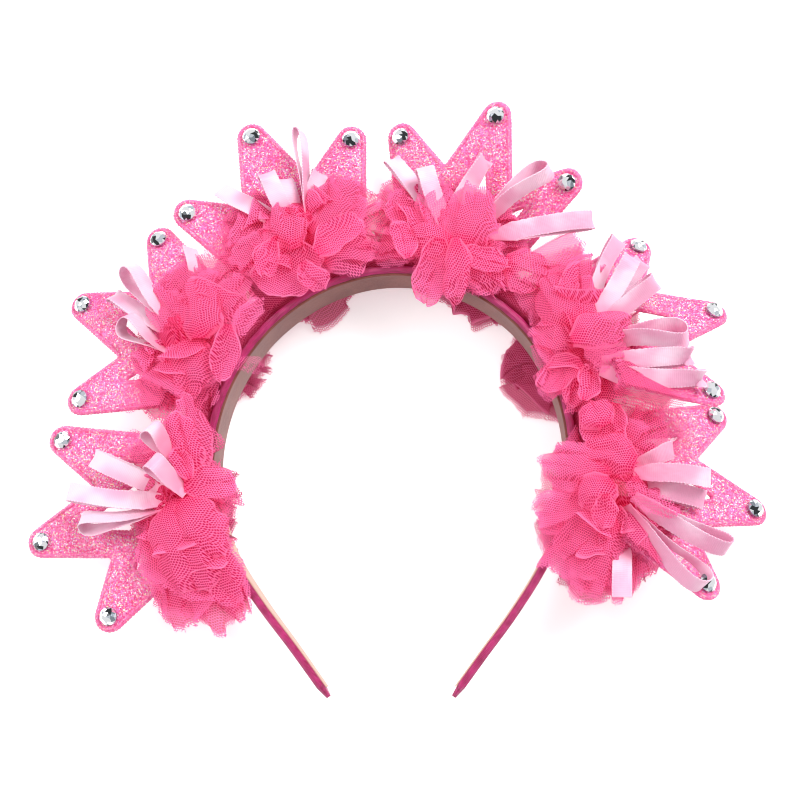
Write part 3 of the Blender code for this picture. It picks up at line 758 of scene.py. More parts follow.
def make_crown(index, m):
    xy, depth = FACE_XY, FACE_DEPTH
    half = crown_height(depth)
    rng = np.random.RandomState(40 + index)
    sway = 0.22 * ripple(xy, 300 + index, 26.0)
    dent = 0.10 * ripple(xy, 320 + index, 7.0) * np.clip(depth / 2.5, 0, 1)
    stitch = 0.13 * np.exp(-(((depth - 0.65) / 0.5) ** 2)) * np.cos(2 * math.pi * RIM_RUN[nearest_rim(xy)] / 1.26)
    top = half + dent + stitch
    n = len(xy)
    front = np.stack([xy[:, 0], xy[:, 1], sway + top], axis=1)
    back = np.stack([xy[:, 0], xy[:, 1], sway - top], axis=1)
    ring = RIM_AT[RIM_AT >= 0]
    mid_xy = xy[ring]
    out_dir = mid_xy - np.roll(mid_xy, 1, axis=0)
    out_dir = np.stack([out_dir[:, 1], -out_dir[:, 0]], axis=1)
    out_dir /= np.maximum(np.linalg.norm(out_dir, axis=1)[:, None], 1e-6)
    mid = np.stack([mid_xy[:, 0] + out_dir[:, 0] * 0.16, mid_xy[:, 1] + out_dir[:, 1] * 0.16, sway[ring]], axis=1)
    points = np.vstack([front, back, mid])
    r, k = len(ring), np.arange(len(ring))
    nk = (k + 1) % r
    faces = [tuple(t) for t in FACE_TRIS.tolist()]
    faces += [(c + n, b + n, a + n) for a, b, c in FACE_TRIS.tolist()]
    # the rim closes front to back through its middle line
    for a, b, ma, mb in zip(ring[k], ring[nk], 2 * n + k, 2 * n + nk):
        faces.append((int(b), int(a), int(ma), int(mb)))
        faces.append((int(mb), int(ma), int(a + n), int(b + n)))
    rim = np.clip(1.0 - (depth - 1.15) / 0.3, 0, 1)
    rim_all = np.concatenate([rim, rim, np.ones(r)])
    # painted shade along the stitched groove, 1.4 mm inside the edge
    groove_shade = np.exp(-(((depth - 1.4) / 0.22) ** 2))
    groove_shade_all = np.concatenate([groove_shade, groove_shade, np.zeros(r)])
    slots = [0] * len(faces)

    # flakes stand a little proud of the cloth, each tilted its own way
    count = 2300
    spots = []
    while len(spots) < count:
        c = np.stack([rng.uniform(-37, 37, 6000), rng.uniform(-29, 21.5, 6000)], axis=1)
        d = inside_depth(c, OUTLINE)
        thin = rng.uniform(size=len(c)) < np.clip((d - 0.25) / 1.4, 0.0, 1) * np.clip(
            0.62 + 0.55 * ripple(c, 350 + index, 12.0), 0.12, 1
        )
        spots.extend(c[thin].tolist())
    spots = np.array(spots[:count])
    # the cloth's height there, from the same profile
    d = inside_depth(spots, OUTLINE)
    base = 0.22 * ripple(spots, 300 + index, 26.0) + crown_height(d) + 0.10 * ripple(spots, 320 + index, 7.0) * np.clip(d / 2.5, 0, 1)
    size = rng.uniform(0.16, 0.30, count)
    tilt = rng.normal(0, 0.32, (count, 2))
    shares = np.cumsum([s for s, _ in FLAKE_COLOURS])
    pick = np.searchsorted(shares / shares[-1], rng.uniform(size=count))
    colours = np.array([c for _, c in FLAKE_COLOURS])[np.minimum(pick, len(FLAKE_COLOURS) - 1)]
    turn = rng.uniform(0, 2 * math.pi, count)
    fpts = np.empty((count, 4, 3))
    for j in range(3):
        ang = turn + j * 2 * math.pi / 3
        dx, dy = size * np.cos(ang), size * np.sin(ang)
        fpts[:, j, 0] = spots[:, 0] + dx
        fpts[:, j, 1] = spots[:, 1] + dy
        fpts[:, j, 2] = base + 0.07 + dx * tilt[:, 0] + dy * tilt[:, 1]
    fpts[:, 3, 0], fpts[:, 3, 1] = spots[:, 0], spots[:, 1]
    fpts[:, 3, 2] = base - 0.14
    start = len(points)
    points = np.vstack([points, fpts.reshape(-1, 3)])
    for q in range(count):
        o = start + 4 * q
        faces += [(o, o + 1, o + 2), (o, o + 3, o + 1), (o + 1, o + 3, o + 2), (o + 2, o + 3, o)]
    slots += [1] * (4 * count)
    flake = np.ones((len(points), 4))
    flake[start:] = np.repeat(colours, 4, axis=0)
    ob = build(
        f"glitter_crown_{index}",
        put(m, points),
        faces,
        [GLITTER, FLAKE],
        slots,
        smooth=[s == 0 for s in slots],
        attrs={
            "rim": np.concatenate([rim_all, np.zeros(4 * count)]),
            "groove_shade": np.concatenate([groove_shade_all, np.zeros(4 * count)]),
            "flake": flake,
        },
    )
    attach(ob, "root")
    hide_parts(f"crown_{index}")
    return ob


for i, m in enumerate(CROWN_M, 1):
    make_crown(i, m)


# ---- stones ----------------------------------------------------------------
# painted reflections: the light and dark that each facet would mirror, fixed in its colour
PAINTED_FACET_REFLECTIONS = (
    # share, colour
    (0.46, (0.93, 0.95, 0.98, 1.0)),
    (0.20, (0.62, 0.67, 0.74, 1.0)),
    (0.14, (0.27, 0.31, 0.36, 1.0)),
    (0.20, (0.02, 0.025, 0.03, 1.0)),
)


def make_gem(index, m, seat):
    a, b, turn = seat
    rng = np.random.RandomState(700 + index)
    place = (
        Matrix(m.tolist())
        @ Matrix.Translation((a, b, CROWN_THICK / 2 + 0.35))
        @ Matrix.Rotation(math.radians(turn), 4, "Z")
        @ Matrix.Rotation(math.radians(-10.0), 4, "X")
        @ Matrix.Rotation(rng.uniform(0, 0.7), 4, "Z")
    )
    rings = (
        # height, radius, count, half step
        (0.0, 2.85, 16, 0),
        (0.55, 3.12, 16, 0),
        (0.95, 3.10, 16, 0),
        (1.75, 2.45, 8, 1),
        (2.35, 1.62, 8, 0),
    )
    loops = []
    for h, r, count, half in rings:
        t = 2 * math.pi * (np.arange(count) + 0.5 * half) / count
        loops.append(np.stack([r * np.cos(t), r * np.sin(t), np.full(count, h)], axis=1))
    centre_top, centre_low = (0.0, 0.0, 2.46), (0.0, 0.0, -0.35)
    tris = []
    for lo, hi in ((0, 1), (1, 2)):
        for k in range(16):
            p, q = loops[lo][k], loops[lo][(k + 1) % 16]
            r_, s_ = loops[hi][(k + 1) % 16], loops[hi][k]
            tris.append(((p, q, r_, s_), "side"))
    for k in range(8):
        g0, g1, g2 = loops[2][2 * k], loops[2][2 * k + 1], loops[2][(2 * k + 2) % 16]
        e, e_prev = loops[3][k], loops[3][(k - 1) % 8]
        t0, t1 = loops[4][k], loops[4][(k + 1) % 8]
        tris.append(((g0, g1, e), "girdle"))
        tris.append(((g1, g2, e), "girdle"))
        tris.append(((g0, e, t0, e_prev), "kite"))
        tris.append(((e, t1, t0), "star"))
        tris.append(((t0, t1, centre_top), "table"))
    for k in range(16):
        tris.append(((loops[0][(k + 1) % 16], loops[0][k], centre_low), "side"))
    points, faces, cols = [], [], []
    shares = np.cumsum([s for s, _ in PAINTED_FACET_REFLECTIONS])
    # painted reflection: the table, kite and star facets on one side of the stone are painted dark, the rest light or
    # grey
    dark_reflection_side = rng.uniform(0, 2 * math.pi)
    for poly, kind in tris:
        start = len(points)
        points += [tuple(v) for v in poly]
        faces.append(tuple(range(start, start + len(poly))))
        pick = int(np.searchsorted(shares, rng.uniform()))
        mid = np.mean(np.array(poly), axis=0)
        turned = (math.atan2(mid[1], mid[0]) - dark_reflection_side) % (2 * math.pi)
        if kind == "table":
            pick = 3 if turned < 1.1 else (1 if turned > 5.2 else 0)
        elif kind in ("kite", "star"):
            pick = 3 if turned < 1.5 else (2 if turned > 5.4 else (0 if rng.uniform() < 0.6 else 1))
        elif kind == "side":
            pick = 1 if rng.uniform() < 0.6 else 2
        cols += [PAINTED_FACET_REFLECTIONS[min(pick, 3)][1]] * len(poly)
    world = [tuple(place @ Vector(p)) for p in points]
    ob = build(f"rhinestone_{index}", world, faces, [GEM], smooth=False, attrs={"facet_reflection": np.array(cols)})
    # one closed stone: corners that meet are one point, and each face keeps its painted reflection
    mesh = ob.data
    painted_light_tone = mesh.attributes["facet_reflection"]
    corner = mesh.color_attributes.new("facet_reflection_face", "FLOAT_COLOR", "CORNER")
    vals = np.empty(len(points) * 4, dtype=np.float32)
    painted_light_tone.data.foreach_get("color", vals)
    vals = vals.reshape(-1, 4)
    vi = np.empty(len(mesh.loops), dtype=np.int32)
    mesh.loops.foreach_get("vertex_index", vi)
    corner.data.foreach_set("color", vals[vi].ravel())
    mesh.attributes.remove(mesh.attributes["facet_reflection"])
    mesh.attributes["facet_reflection_face"].name = "facet_reflection"
    bm = bmesh.new()
    bm.from_mesh(mesh)
    bmesh.ops.remove_doubles(bm, verts=bm.verts, dist=0.00002)
    bmesh.ops.recalc_face_normals(bm, faces=bm.faces)
    bm.to_mesh(mesh)
    bm.free()
    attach(ob, "root")
    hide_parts(f"gem_{index}")


for i, m in enumerate(CROWN_M, 1):
    half = CROWN_SPAN / 2
    for k, seat in enumerate(((-half, 0.0, 42.0), (0.0, CROWN_RISE, 0.0), (half, 0.0, -42.0))):
        make_gem(3 * i - 2 + k, m, seat)


# ---- ribbons ---------------------------------------------------------------
RIBBON_WIDTH, RIBBON_HALF_THICK = 6.35, 0.17

# One row is one loop or one free end. Its root and tip are pixels of the photograph
# with a height; turn is about its own length (0 shows the face, 90 the edge), gap is
# how far its two strands part, bow bends it sideways, twist turns its tip.
RIBBONS = (
    # unit, root x, root y, root z, tip x, tip y, tip z, turn, gap, bow, twist, loop
    # lower left
    (1, 168, 492, 33, 94, 458, 27, 8, 2.5, 0.0, 0, 1),
    (1, 168, 500, 35, 69, 492, 31, 16, 5.5, 1.0, -6, 1),
    (1, 162, 508, 33, 81, 524, 29, 50, 8.5, 2.0, 0, 1),
    (1, 178, 462, 37, 148, 427, 42, 38, 9.5, 0.0, 0, 1),
    (1, 186, 494, 39, 150, 460, 44, 26, 9.0, 0.0, 0, 1),
    # left
    (2, 176, 335, 29, 114, 296, 27, 30, 3.5, 0.0, 10, 1),
    (2, 172, 322, 31, 126, 268, 33, 42, 10.0, 0.0, 15, 1),
    (2, 168, 352, 31, 122, 322, 30, 60, 11.0, 0.0, 0, 1),
    (2, 197, 296, 26, 191, 247, 24, 52, 2.0, 0.0, 0, 0),
    # upper left
    (3, 288, 226, 30, 220, 188, 29, 10, 3.0, 1.0, 6, 0),
    (3, 292, 226, 32, 266, 174, 36, 12, 8.5, 0.0, 12, 1),
    (3, 300, 226, 31, 284, 180, 30, 32, 4.0, 0.0, 0, 1),
    (3, 308, 226, 31, 298, 130, 33, 78, 5.0, 0.0, 0, 1),
    (3, 310, 226, 29, 320, 174, 28, 30, 4.0, 1.0, 10, 1),
    # upper right
    (4, 440, 228, 31, 392, 160, 28, 18, 4.0, -1.0, 6, 1),
    (4, 444, 226, 33, 424, 168, 35, 10, 9.0, 0.0, 12, 1),
    (4, 446, 222, 30, 485, 160, 30, 28, 4.0, 0.0, 30, 1),
    (4, 484, 226, 31, 549, 167, 36, 58, 9.5, 2.5, 0, 1),
    (4, 490, 236, 31, 592, 220, 30, 14, 2.5, 0.5, -6, 1),
    # right
    (5, 588, 322, 29, 618, 240, 24, 38, 3.5, 2.0, 0, 1),
    (5, 592, 322, 34, 632, 258, 35, 10, 6.0, -1.0, 8, 1),
    (5, 596, 326, 31, 642, 262, 32, 22, 3.0, 0.5, 6, 1),
    (5, 600, 328, 33, 655, 281, 34, 24, 8.0, 0.0, 12, 1),
    (5, 602, 344, 34, 688, 334, 38, 46, 15.0, 2.0, 0, 1),
    (5, 602, 362, 37, 690, 356, 41, 16, 4.0, 0.0, 48, 1),
    (5, 600, 370, 37, 702, 378, 41, 18, 4.0, -1.5, 50, 1),
    # lower right
    (6, 634, 482, 29, 704, 500, 27, 16, 3.5, 0.0, 0, 1),
    (6, 632, 474, 34, 710, 478, 32, 20, 7.0, 1.0, -12, 1),
    (6, 634, 496, 34, 729, 547, 34, 40, 9.0, -1.5, 0, 1),
    (6, 626, 506, 34, 706, 584, 35, 46, 12.5, -2.0, 0, 1),
    (6, 622, 532, 28, 622, 597, 35, 4, 0.5, 0.0, 0, 0),
    (6, 630, 470, 31, 674, 450, 28, 30, 2.0, 1.0, 0, 0),
)


def strip(path, across, width, gather):
    """Rings of points round a thin ribbon that follows a path."""
    n = len(path)
    t = np.gradient(path, axis=0)
    t /= np.linalg.norm(t, axis=1)[:, None]
    w = across - t * (across * t).sum(axis=1)[:, None]
    w /= np.maximum(np.linalg.norm(w, axis=1)[:, None], 1e-6)
    for i in range(1, n):
        if (w[i] * w[i - 1]).sum() < 0:
            w[i] = -w[i]
    up = np.cross(w, t)
    run = np.concatenate([[0.0], np.cumsum(np.linalg.norm(np.diff(path, axis=0), axis=1))])
    cols = np.array((-1.0, -0.86, -0.5, 0.0, 0.5, 0.86, 1.0))
    picot = 0.10 * np.sign(np.sin(2 * math.pi * run / 1.05))
    rings, uvs, gs = [], [], []
    for side in (1.0, -1.0):
        for c in cols if side > 0 else cols[::-1]:
            half = width / 2 * c + (picot * c if abs(c) == 1 else 0.0)
            cup = 0.30 * (1 - c * c) * gather
            edge = 1.35 if abs(c) == 0.86 else (0.9 if abs(c) == 1 else 1.0)
            p = path + w * half[:, None] + up * (side * RIBBON_HALF_THICK * edge + cup)[:, None]
            rings.append(p)
            uvs.append(np.stack([half * MM, run * MM], axis=1))
            gs.append(gather)
    return np.stack(rings, axis=1), np.stack(uvs, axis=1), np.stack(gs, axis=1), run[-1]


def make_ribbons(index):
    points, faces, uvs, gs, total, count = [], [], [], [], 0.0, 0
    start = 0
    for row_no, row in enumerate([r for r in RIBBONS if r[0] == index]):
        _, rx, ry, rz, tx, ty, tz, turn, gap, bow, twist, is_loop = row
        root, tip = spot(rx, ry, rz), spot(tx, ty, tz)
        axis = tip - root
        length = np.linalg.norm(axis)
        axis /= length
        flat = np.cross((0.0, 0.0, 1.0), axis)
        flat /= np.linalg.norm(flat)
        lift = np.cross(axis, flat)
        a = math.radians(turn)
        across = flat * math.cos(a) + lift * math.sin(a)
        part = np.cross(across, axis)
        part = -part if part[2] < 0 else part
        rng = np.random.RandomState(900 + 17 * index + row_no)
        n = int(max(60, 2.1 * length / 0.5)) if is_loop else int(max(40, length / 0.5))
        t = np.linspace(0, 1, n)
        if is_loop:
            out = np.sin(math.pi * t) ** 0.80
            sep = gap / 2 * np.sin(2 * math.pi * t) * (0.35 + 0.65 * np.sin(math.pi * t) ** 2)
            tipness = np.sin(math.pi * t) ** 4
        else:
            out = t
            sep = gap * (np.sin(math.pi * t * 1.2) * 0.5)
            tipness = t**2
        wobble = 0.35 * np.sin(2 * math.pi * (1.3 * t + rng.uniform())) * np.sin(math.pi * np.clip(out, 0, 1))
        path = (
            root
            + axis * (out * length)[:, None]
            + part * (sep + wobble)[:, None]
            + across * (bow * 4 * out * (1 - out) * (1 if is_loop else 1))[:, None]
            + across * (0.5 * np.sin(2 * math.pi * t) * (1 if is_loop else 0))[:, None]
        )
        roll = np.radians(twist) * tipness + 0.10 * np.sin(2 * math.pi * t + rng.uniform(0, 6))
        aw = across[None] * np.cos(roll)[:, None] + part[None] * np.sin(roll)[:, None]
        pinch = np.clip(out * length / 9.0, 0, 1)
        width = RIBBON_WIDTH * (0.62 + 0.38 * (3 * pinch**2 - 2 * pinch**3))
        gather = 1 - np.clip(out * length / 13.0, 0, 1)
        rings, uv, g, run = strip(path, aw, width, gather)
        rows, cols = rings.shape[:2]
        points.append(rings.reshape(-1, 3))
        uvs.append(uv.reshape(-1, 2) + np.array((0.0, 0.003 * row_no)))
        gs.append(g.reshape(-1))
        faces += grid_faces(rows, cols, start, wrap=True).tolist()
        faces.append(tuple(range(start + cols - 1, start - 1, -1)))
        faces.append(tuple(range(start + (rows - 1) * cols, start + rows * cols)))
        start += rows * cols
        total += run
        count += 1
    ob = build(
        f"ribbon_bunch_{index}",
        np.vstack(points),
        faces,
        [RIBBON],
        smooth=True,
        uv=np.vstack(uvs),
        attrs={"gather": np.concatenate(gs)},
        sharp=50,
    )
    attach(ob, "root")
    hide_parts(f"ribbon_loops_{index}")
    length = total * MM
    return total


for i in range(1, 7):
    make_ribbons(i)


# ---- tulle -----------------------------------------------------------------
# Each rosette is gathered at a middle just outside the band. reach gives how far its
# widest front layers come, in millimetres, at angles round it in the photograph's
# frame (0 to the right, 90 up).
ROSETTES = (
    # middle x, y (pixels), outward angle, front reach, back reach
    (
        (174, 503),
        189.0,
        ((0, 24), (20, 24), (38, 21), (58, 23), (70, 31), (82, 33), (96, 32), (112, 30), (128, 28), (146, 18),
         (165, 8), (185, 7), (205, 12), (225, 17), (243, 22), (256, 31), (268, 39), (284, 43), (300, 43), (312, 37),
         (322, 28), (336, 21), (348, 22)),
        ((0, 17), (90, 24), (180, 20), (240, 24), (270, 32), (300, 32), (330, 18)),
    ),
    (
        (184, 334),
        163.0,
        ((0, 19), (15, 21), (32, 29), (46, 31), (60, 32), (76, 29), (92, 25), (108, 23), (125, 18), (142, 13),
         (160, 10), (178, 9), (196, 15), (214, 24), (232, 27), (250, 28), (268, 28), (286, 24), (303, 20), (318, 19),
         (340, 19)),
        ((0, 26), (45, 26), (90, 24), (180, 20), (270, 24), (315, 30), (340, 30)),
    ),
    (
        (296, 226),
        113.0,
        ((0, 28), (14, 29), (28, 29), (40, 27), (52, 21), (66, 13), (84, 7), (102, 8), (122, 12), (140, 18),
         (156, 24), (174, 28), (192, 30), (210, 29), (226, 29), (240, 27), (256, 25), (272, 25), (288, 24),
         (304, 23), (318, 22), (332, 22), (346, 25)),
        ((0, 26), (90, 22), (180, 26), (225, 30), (270, 36), (300, 30), (330, 28)),
    ),
    (
        (452, 226),
        71.0,
        ((0, 26), (15, 25), (32, 20), (48, 18), (64, 18), (84, 15), (104, 16), (124, 20), (142, 26), (158, 28),
         (176, 28), (194, 26), (210, 23), (226, 19), (240, 26), (252, 28), (264, 25), (278, 25), (294, 28),
         (310, 29), (326, 28), (342, 27)),
        ((0, 26), (90, 22), (180, 26), (210, 22), (240, 21), (270, 27), (300, 36), (330, 28)),
    ),
    (
        (590, 330),
        11.0,
        ((0, 13), (20, 15), (38, 13), (56, 16), (72, 23), (88, 26), (104, 29), (120, 32), (136, 32), (152, 28),
         (166, 24), (180, 20), (196, 20), (210, 24), (226, 27), (242, 27), (258, 26), (274, 25), (290, 24),
         (306, 24), (322, 21), (340, 15)),
        ((0, 20), (90, 24), (150, 26), (180, 31), (205, 33), (225, 34), (240, 30), (270, 24)),
    ),
    (
        (622, 486),
        -15.0,
        ((0, 14), (16, 11), (34, 10), (52, 14), (70, 19), (86, 25), (102, 29), (118, 29), (134, 22), (150, 25),
         (162, 28), (174, 27), (184, 27), (193, 33), (203, 29), (216, 36), (229, 42), (242, 42), (256, 41),
         (270, 38), (284, 31), (298, 29), (312, 24), (328, 22), (344, 20)),
        ((0, 20), (90, 22), (150, 22), (180, 22), (210, 30), (240, 40), (270, 36), (300, 28)),
    ),
)

# The gathered layers of a rosette, from the table up. Heights are above the table; share is of the front or back reach;
# aside leaves out the sector round the outward direction; painted_light_tone is painted shade that darkens a layer and
# dims its painted glow.
LAYERS = (
    # side, share, base z, edge z, base radius, lobes, wave, roll, folded, aside, painted_light_tone, see
    ("back", 1.00, 7.5, 1.8, 5.0, 9, 1.5, 2.6, 0, 0, 0.66, 0.12),
    ("back", 0.86, 8.5, 4.8, 5.0, 8, 1.8, 2.8, 1, 0, 0.60, 0.10),
    ("middle", 0.95, 19.0, 15.0, 5.0, 8, 2.4, 2.6, 0, 0, 0.42, 0.26),
    ("front", 1.00, 25.0, 26.0, 4.0, 8, 1.8, 3.0, 0, 0, 0.22, 0.42),
    ("front", 0.94, 26.0, 27.5, 4.0, 8, 2.2, 3.4, 0, 0, 0.12, 0.32),
    ("front", 0.84, 27.0, 29.5, 4.0, 7, 2.8, 3.8, 0, 0, 0.05, 0.30),
    ("front", 0.66, 28.0, 32.0, 4.0, 6, 3.2, 3.8, 1, 30, 0.0, 0.25),
    ("front", 0.44, 29.0, 35.0, 3.5, 5, 3.0, 3.4, 1, 60, 0.0, 0.20),
)
LAYER_RANK = [0.0, 0.0, 0.0, 0.0, 0.5, 1.0, 1.5, 2.0]


def around(table, degrees, soft=7.0):
    """A smooth value at angles round a rosette, from a table of angle and value."""
    a = np.array([p[0] for p in table], float)
    v = np.array([p[1] for p in table], float)
    ring = np.arange(-180, 540, 2.0)
    vals = np.interp(ring % 360, np.concatenate([a - 360, a, a + 360]), np.tile(v, 3))
    k = np.exp(-((np.arange(-16, 17) * 2.0 / soft) ** 2))
    vals = np.convolve(vals, k / k.sum(), mode="same")
    return np.interp(np.mod(degrees, 360), ring, vals)


def soft_floor(z, floor, blend=0.9):
    """z kept above floor, with a rounded change-over."""
    d = (z - floor) / blend
    return floor + blend * np.where(d > 25, d, np.log1p(np.exp(np.clip(d, -30, 25))))


def limits(x, y):
    """The heights that cloth over the object stays above and cloth under it stays below."""
    s, n = band_place(x, y)
    on_band = np.clip(1 - (np.abs(n - 1.0) - 2.4) / 1.5, 0, 1) * ((s > 2) & (s < LENGTH - 2))
    half = np.interp(s, PATH_S, PATH_W) / 2
    over = 0.35 + on_band * (BAND_MID_Z + half + 0.2)
    under = np.where(on_band > 0, BAND_MID_Z - half - 0.5 + (1 - on_band) * 30, 60.0)
    for m in CROWN_M:
        nrm, o = m[:3, 2], m[:3, 3]
        z = o[2] - ((x - o[0]) * nrm[0] + (y - o[1]) * nrm[1]) / nrm[2]
        rel = np.stack([x, y, z], axis=1) - o
        ab = rel @ m[:3, :2]
        near = np.hypot(ab[:, 0], ab[:, 1]) < 48
        d = np.full(len(ab), -9.0)
        if near.any():
            d[near] = inside_depth(ab[near], OUTLINE)
        w = np.clip((d + 2.2) / 2.2, 0, 1)
        over = np.maximum(over, w * (z + 1.6))
        under = np.minimum(under, np.where(w > 0, z - 1.5 + (1 - w) * 30, 60.0))
    return over, under


def smooth_random(rng, n, knots, low, high):
    v = rng.uniform(low, high, knots + 3)
    return through(v[:, None], np.linspace(0, knots, n))[:, 0]


def waves(rng, x, y, size, count=4):
    """A smooth random field over the plane, about -1 to 1, with bumps of this size."""
    out = np.zeros(np.shape(x))
    for _ in range(count):
        a, k = rng.uniform(0, 2 * math.pi), 2 * math.pi / (size * rng.uniform(0.75, 1.5))
        out = out + np.sin(k * (x * math.cos(a) + y * math.sin(a)) + rng.uniform(0, 6.28))
    return out / (count * 0.62)


def creases(rng, x, y, size):
    """Rounded ridges that wander, 0 to 1, like cloth that has been crushed."""
    a = waves(rng, x, y, size)
    b = waves(rng, x, y, size * 1.3)
    return np.exp(-np.abs(a) * 2.2) * (0.6 + 0.4 * b)


def grid_measure(p):
    """Flat lengths along the rows and columns of a gathered grid."""
    across = np.linalg.norm(np.diff(p, axis=1), axis=2)
    wide = across[int(len(across) * 0.7)]
    x = np.concatenate([[0.0], np.cumsum(wide)])
    down = np.linalg.norm(np.diff(p, axis=0), axis=2).mean(axis=1)
    y = np.concatenate([[0.0], np.cumsum(down)])
    return x, y


def lay_net(rng, p):
    """Where each point of a fold lies on the flat net, in metres."""
    a = rng.uniform(0, math.pi)
    u = p[..., 0] + 0.55 * p[..., 2]
    w = p[..., 1] - 0.45 * p[..., 2]
    return np.stack([u * math.cos(a) - w * math.sin(a), u * math.sin(a) + w * math.cos(a)], axis=-1) * MM


def frill(seed, middle, outward, front, back, layer, rank):
    """One layer of net gathered at the middle, its edge falling into lobes."""
    side, share, z0, z1, r0, lobes, wave, roll, folded, aside, painted_light_tone, see = layer
    rng = np.random.RandomState(seed)
    a0, a1 = outward + aside, outward + 360 - aside
    lobes = max(3, int(round(lobes * (a1 - a0) / 360)))
    cols, rows = lobes * 36 + 1, 16
    u = np.linspace(0, 1, cols)
    widths = rng.lognormal(0.0, 0.38, lobes)
    cuts = np.concatenate([[0], np.cumsum(widths)]) / widths.sum()
    phase = 2 * math.pi * np.interp(u, cuts, np.arange(lobes + 1))
    k = np.hanning(19)
    pad = np.concatenate([2 * phase[0] - phase[1:10][::-1], phase, 2 * phase[-1] - phase[-10:-1][::-1]])
    phase = np.convolve(pad, k / k.sum(), mode="valid") + rng.uniform(0, 6.28)
    amp = smooth_random(rng, cols, lobes, 0.45, 1.5)
    lean = smooth_random(rng, cols, lobes, -1.0, 1.0)
    grow = smooth_random(rng, cols, lobes * 2, -0.13, 0.07)
    curl = smooth_random(rng, cols, lobes, -1.0, 1.0)
    deg = a0 + (a1 - a0) * u + 2.0 * rng.uniform(-1, 1)
    phi = np.radians(deg)
    reach = around(front if side != "back" else back, deg) * share * (1.0 + grow)
    away = np.cos(phi - math.radians(outward))
    if side == "middle":
        # under the crown, but outside the band
        reach = np.clip(reach, 20.0, 24.0)
        reach = np.where(away < 0, np.minimum(reach, 8.5 / np.maximum(-away, 0.3)), reach)
    if side == "back":
        reach = np.maximum(reach, 12.0)
    v = np.linspace(0, 1, rows)[:, None]
    env, env2 = v**1.15, v**1.7
    small = smooth_random(rng, cols, lobes * 8, -1.0, 1.0)
    r = r0 + (reach - r0) * v**0.92
    r = r + env2 * (0.35 * wave * amp * np.cos(2 * phase)) + 0.30 * env * small
    t = -roll * amp * env2 * np.sin(2 * phase) + 2.4 * lean * env2
    bulge = np.sin(math.pi * v) * (1.2 if side == "front" else -0.6)
    z = z0 + (z1 - z0) * v**0.85 + bulge + wave * amp * env * np.sin(phase) + 1.8 * curl * v**3
    if side == "front":
        z = z - 3.0 * np.clip(away, 0, 1) * v
    x = middle[0] + r * np.cos(phi) - t * np.sin(phi)
    y = middle[1] + r * np.sin(phi) + t * np.cos(phi)
    # the layers drag on each other, so no ring stays even
    pull = 2.4 * v**1.2 * (0.6 if share == 1.0 else 1.0)
    x, y = x + pull * waves(rng, x, y, 19.0), y + pull * waves(rng, x, y, 19.0)
    z = z + v * (2.3 * (creases(rng, x, y, 11.0) - 0.4) + 1.0 * (creases(rng, x, y, 5.0) - 0.4))
    over, under = limits(x.ravel(), y.ravel())
    over, under = over.reshape(x.shape), under.reshape(x.shape)
    if side == "front":
        z = soft_floor(z, over + 0.3 + rank)
    else:
        z = -soft_floor(-z, -(under - 0.4), 0.6)
        z = np.maximum(z, 0.35 + 0.2 * v)
    p = np.stack([x, y, z], axis=-1)
    fx, fy = grid_measure(p)
    uv = lay_net(rng, p)
    edge = (fy[-1] - fy)[:, None] * np.ones((1, cols))
    if aside:
        edge = np.minimum(edge, np.minimum(fx, fx[-1] - fx)[None, :] + 0.2)
    gather = np.clip(1.0 - (v * 2.6), 0, 1) ** 1.2 * np.ones((1, cols))
    return p, uv, edge, gather, float(folded), painted_light_tone, see


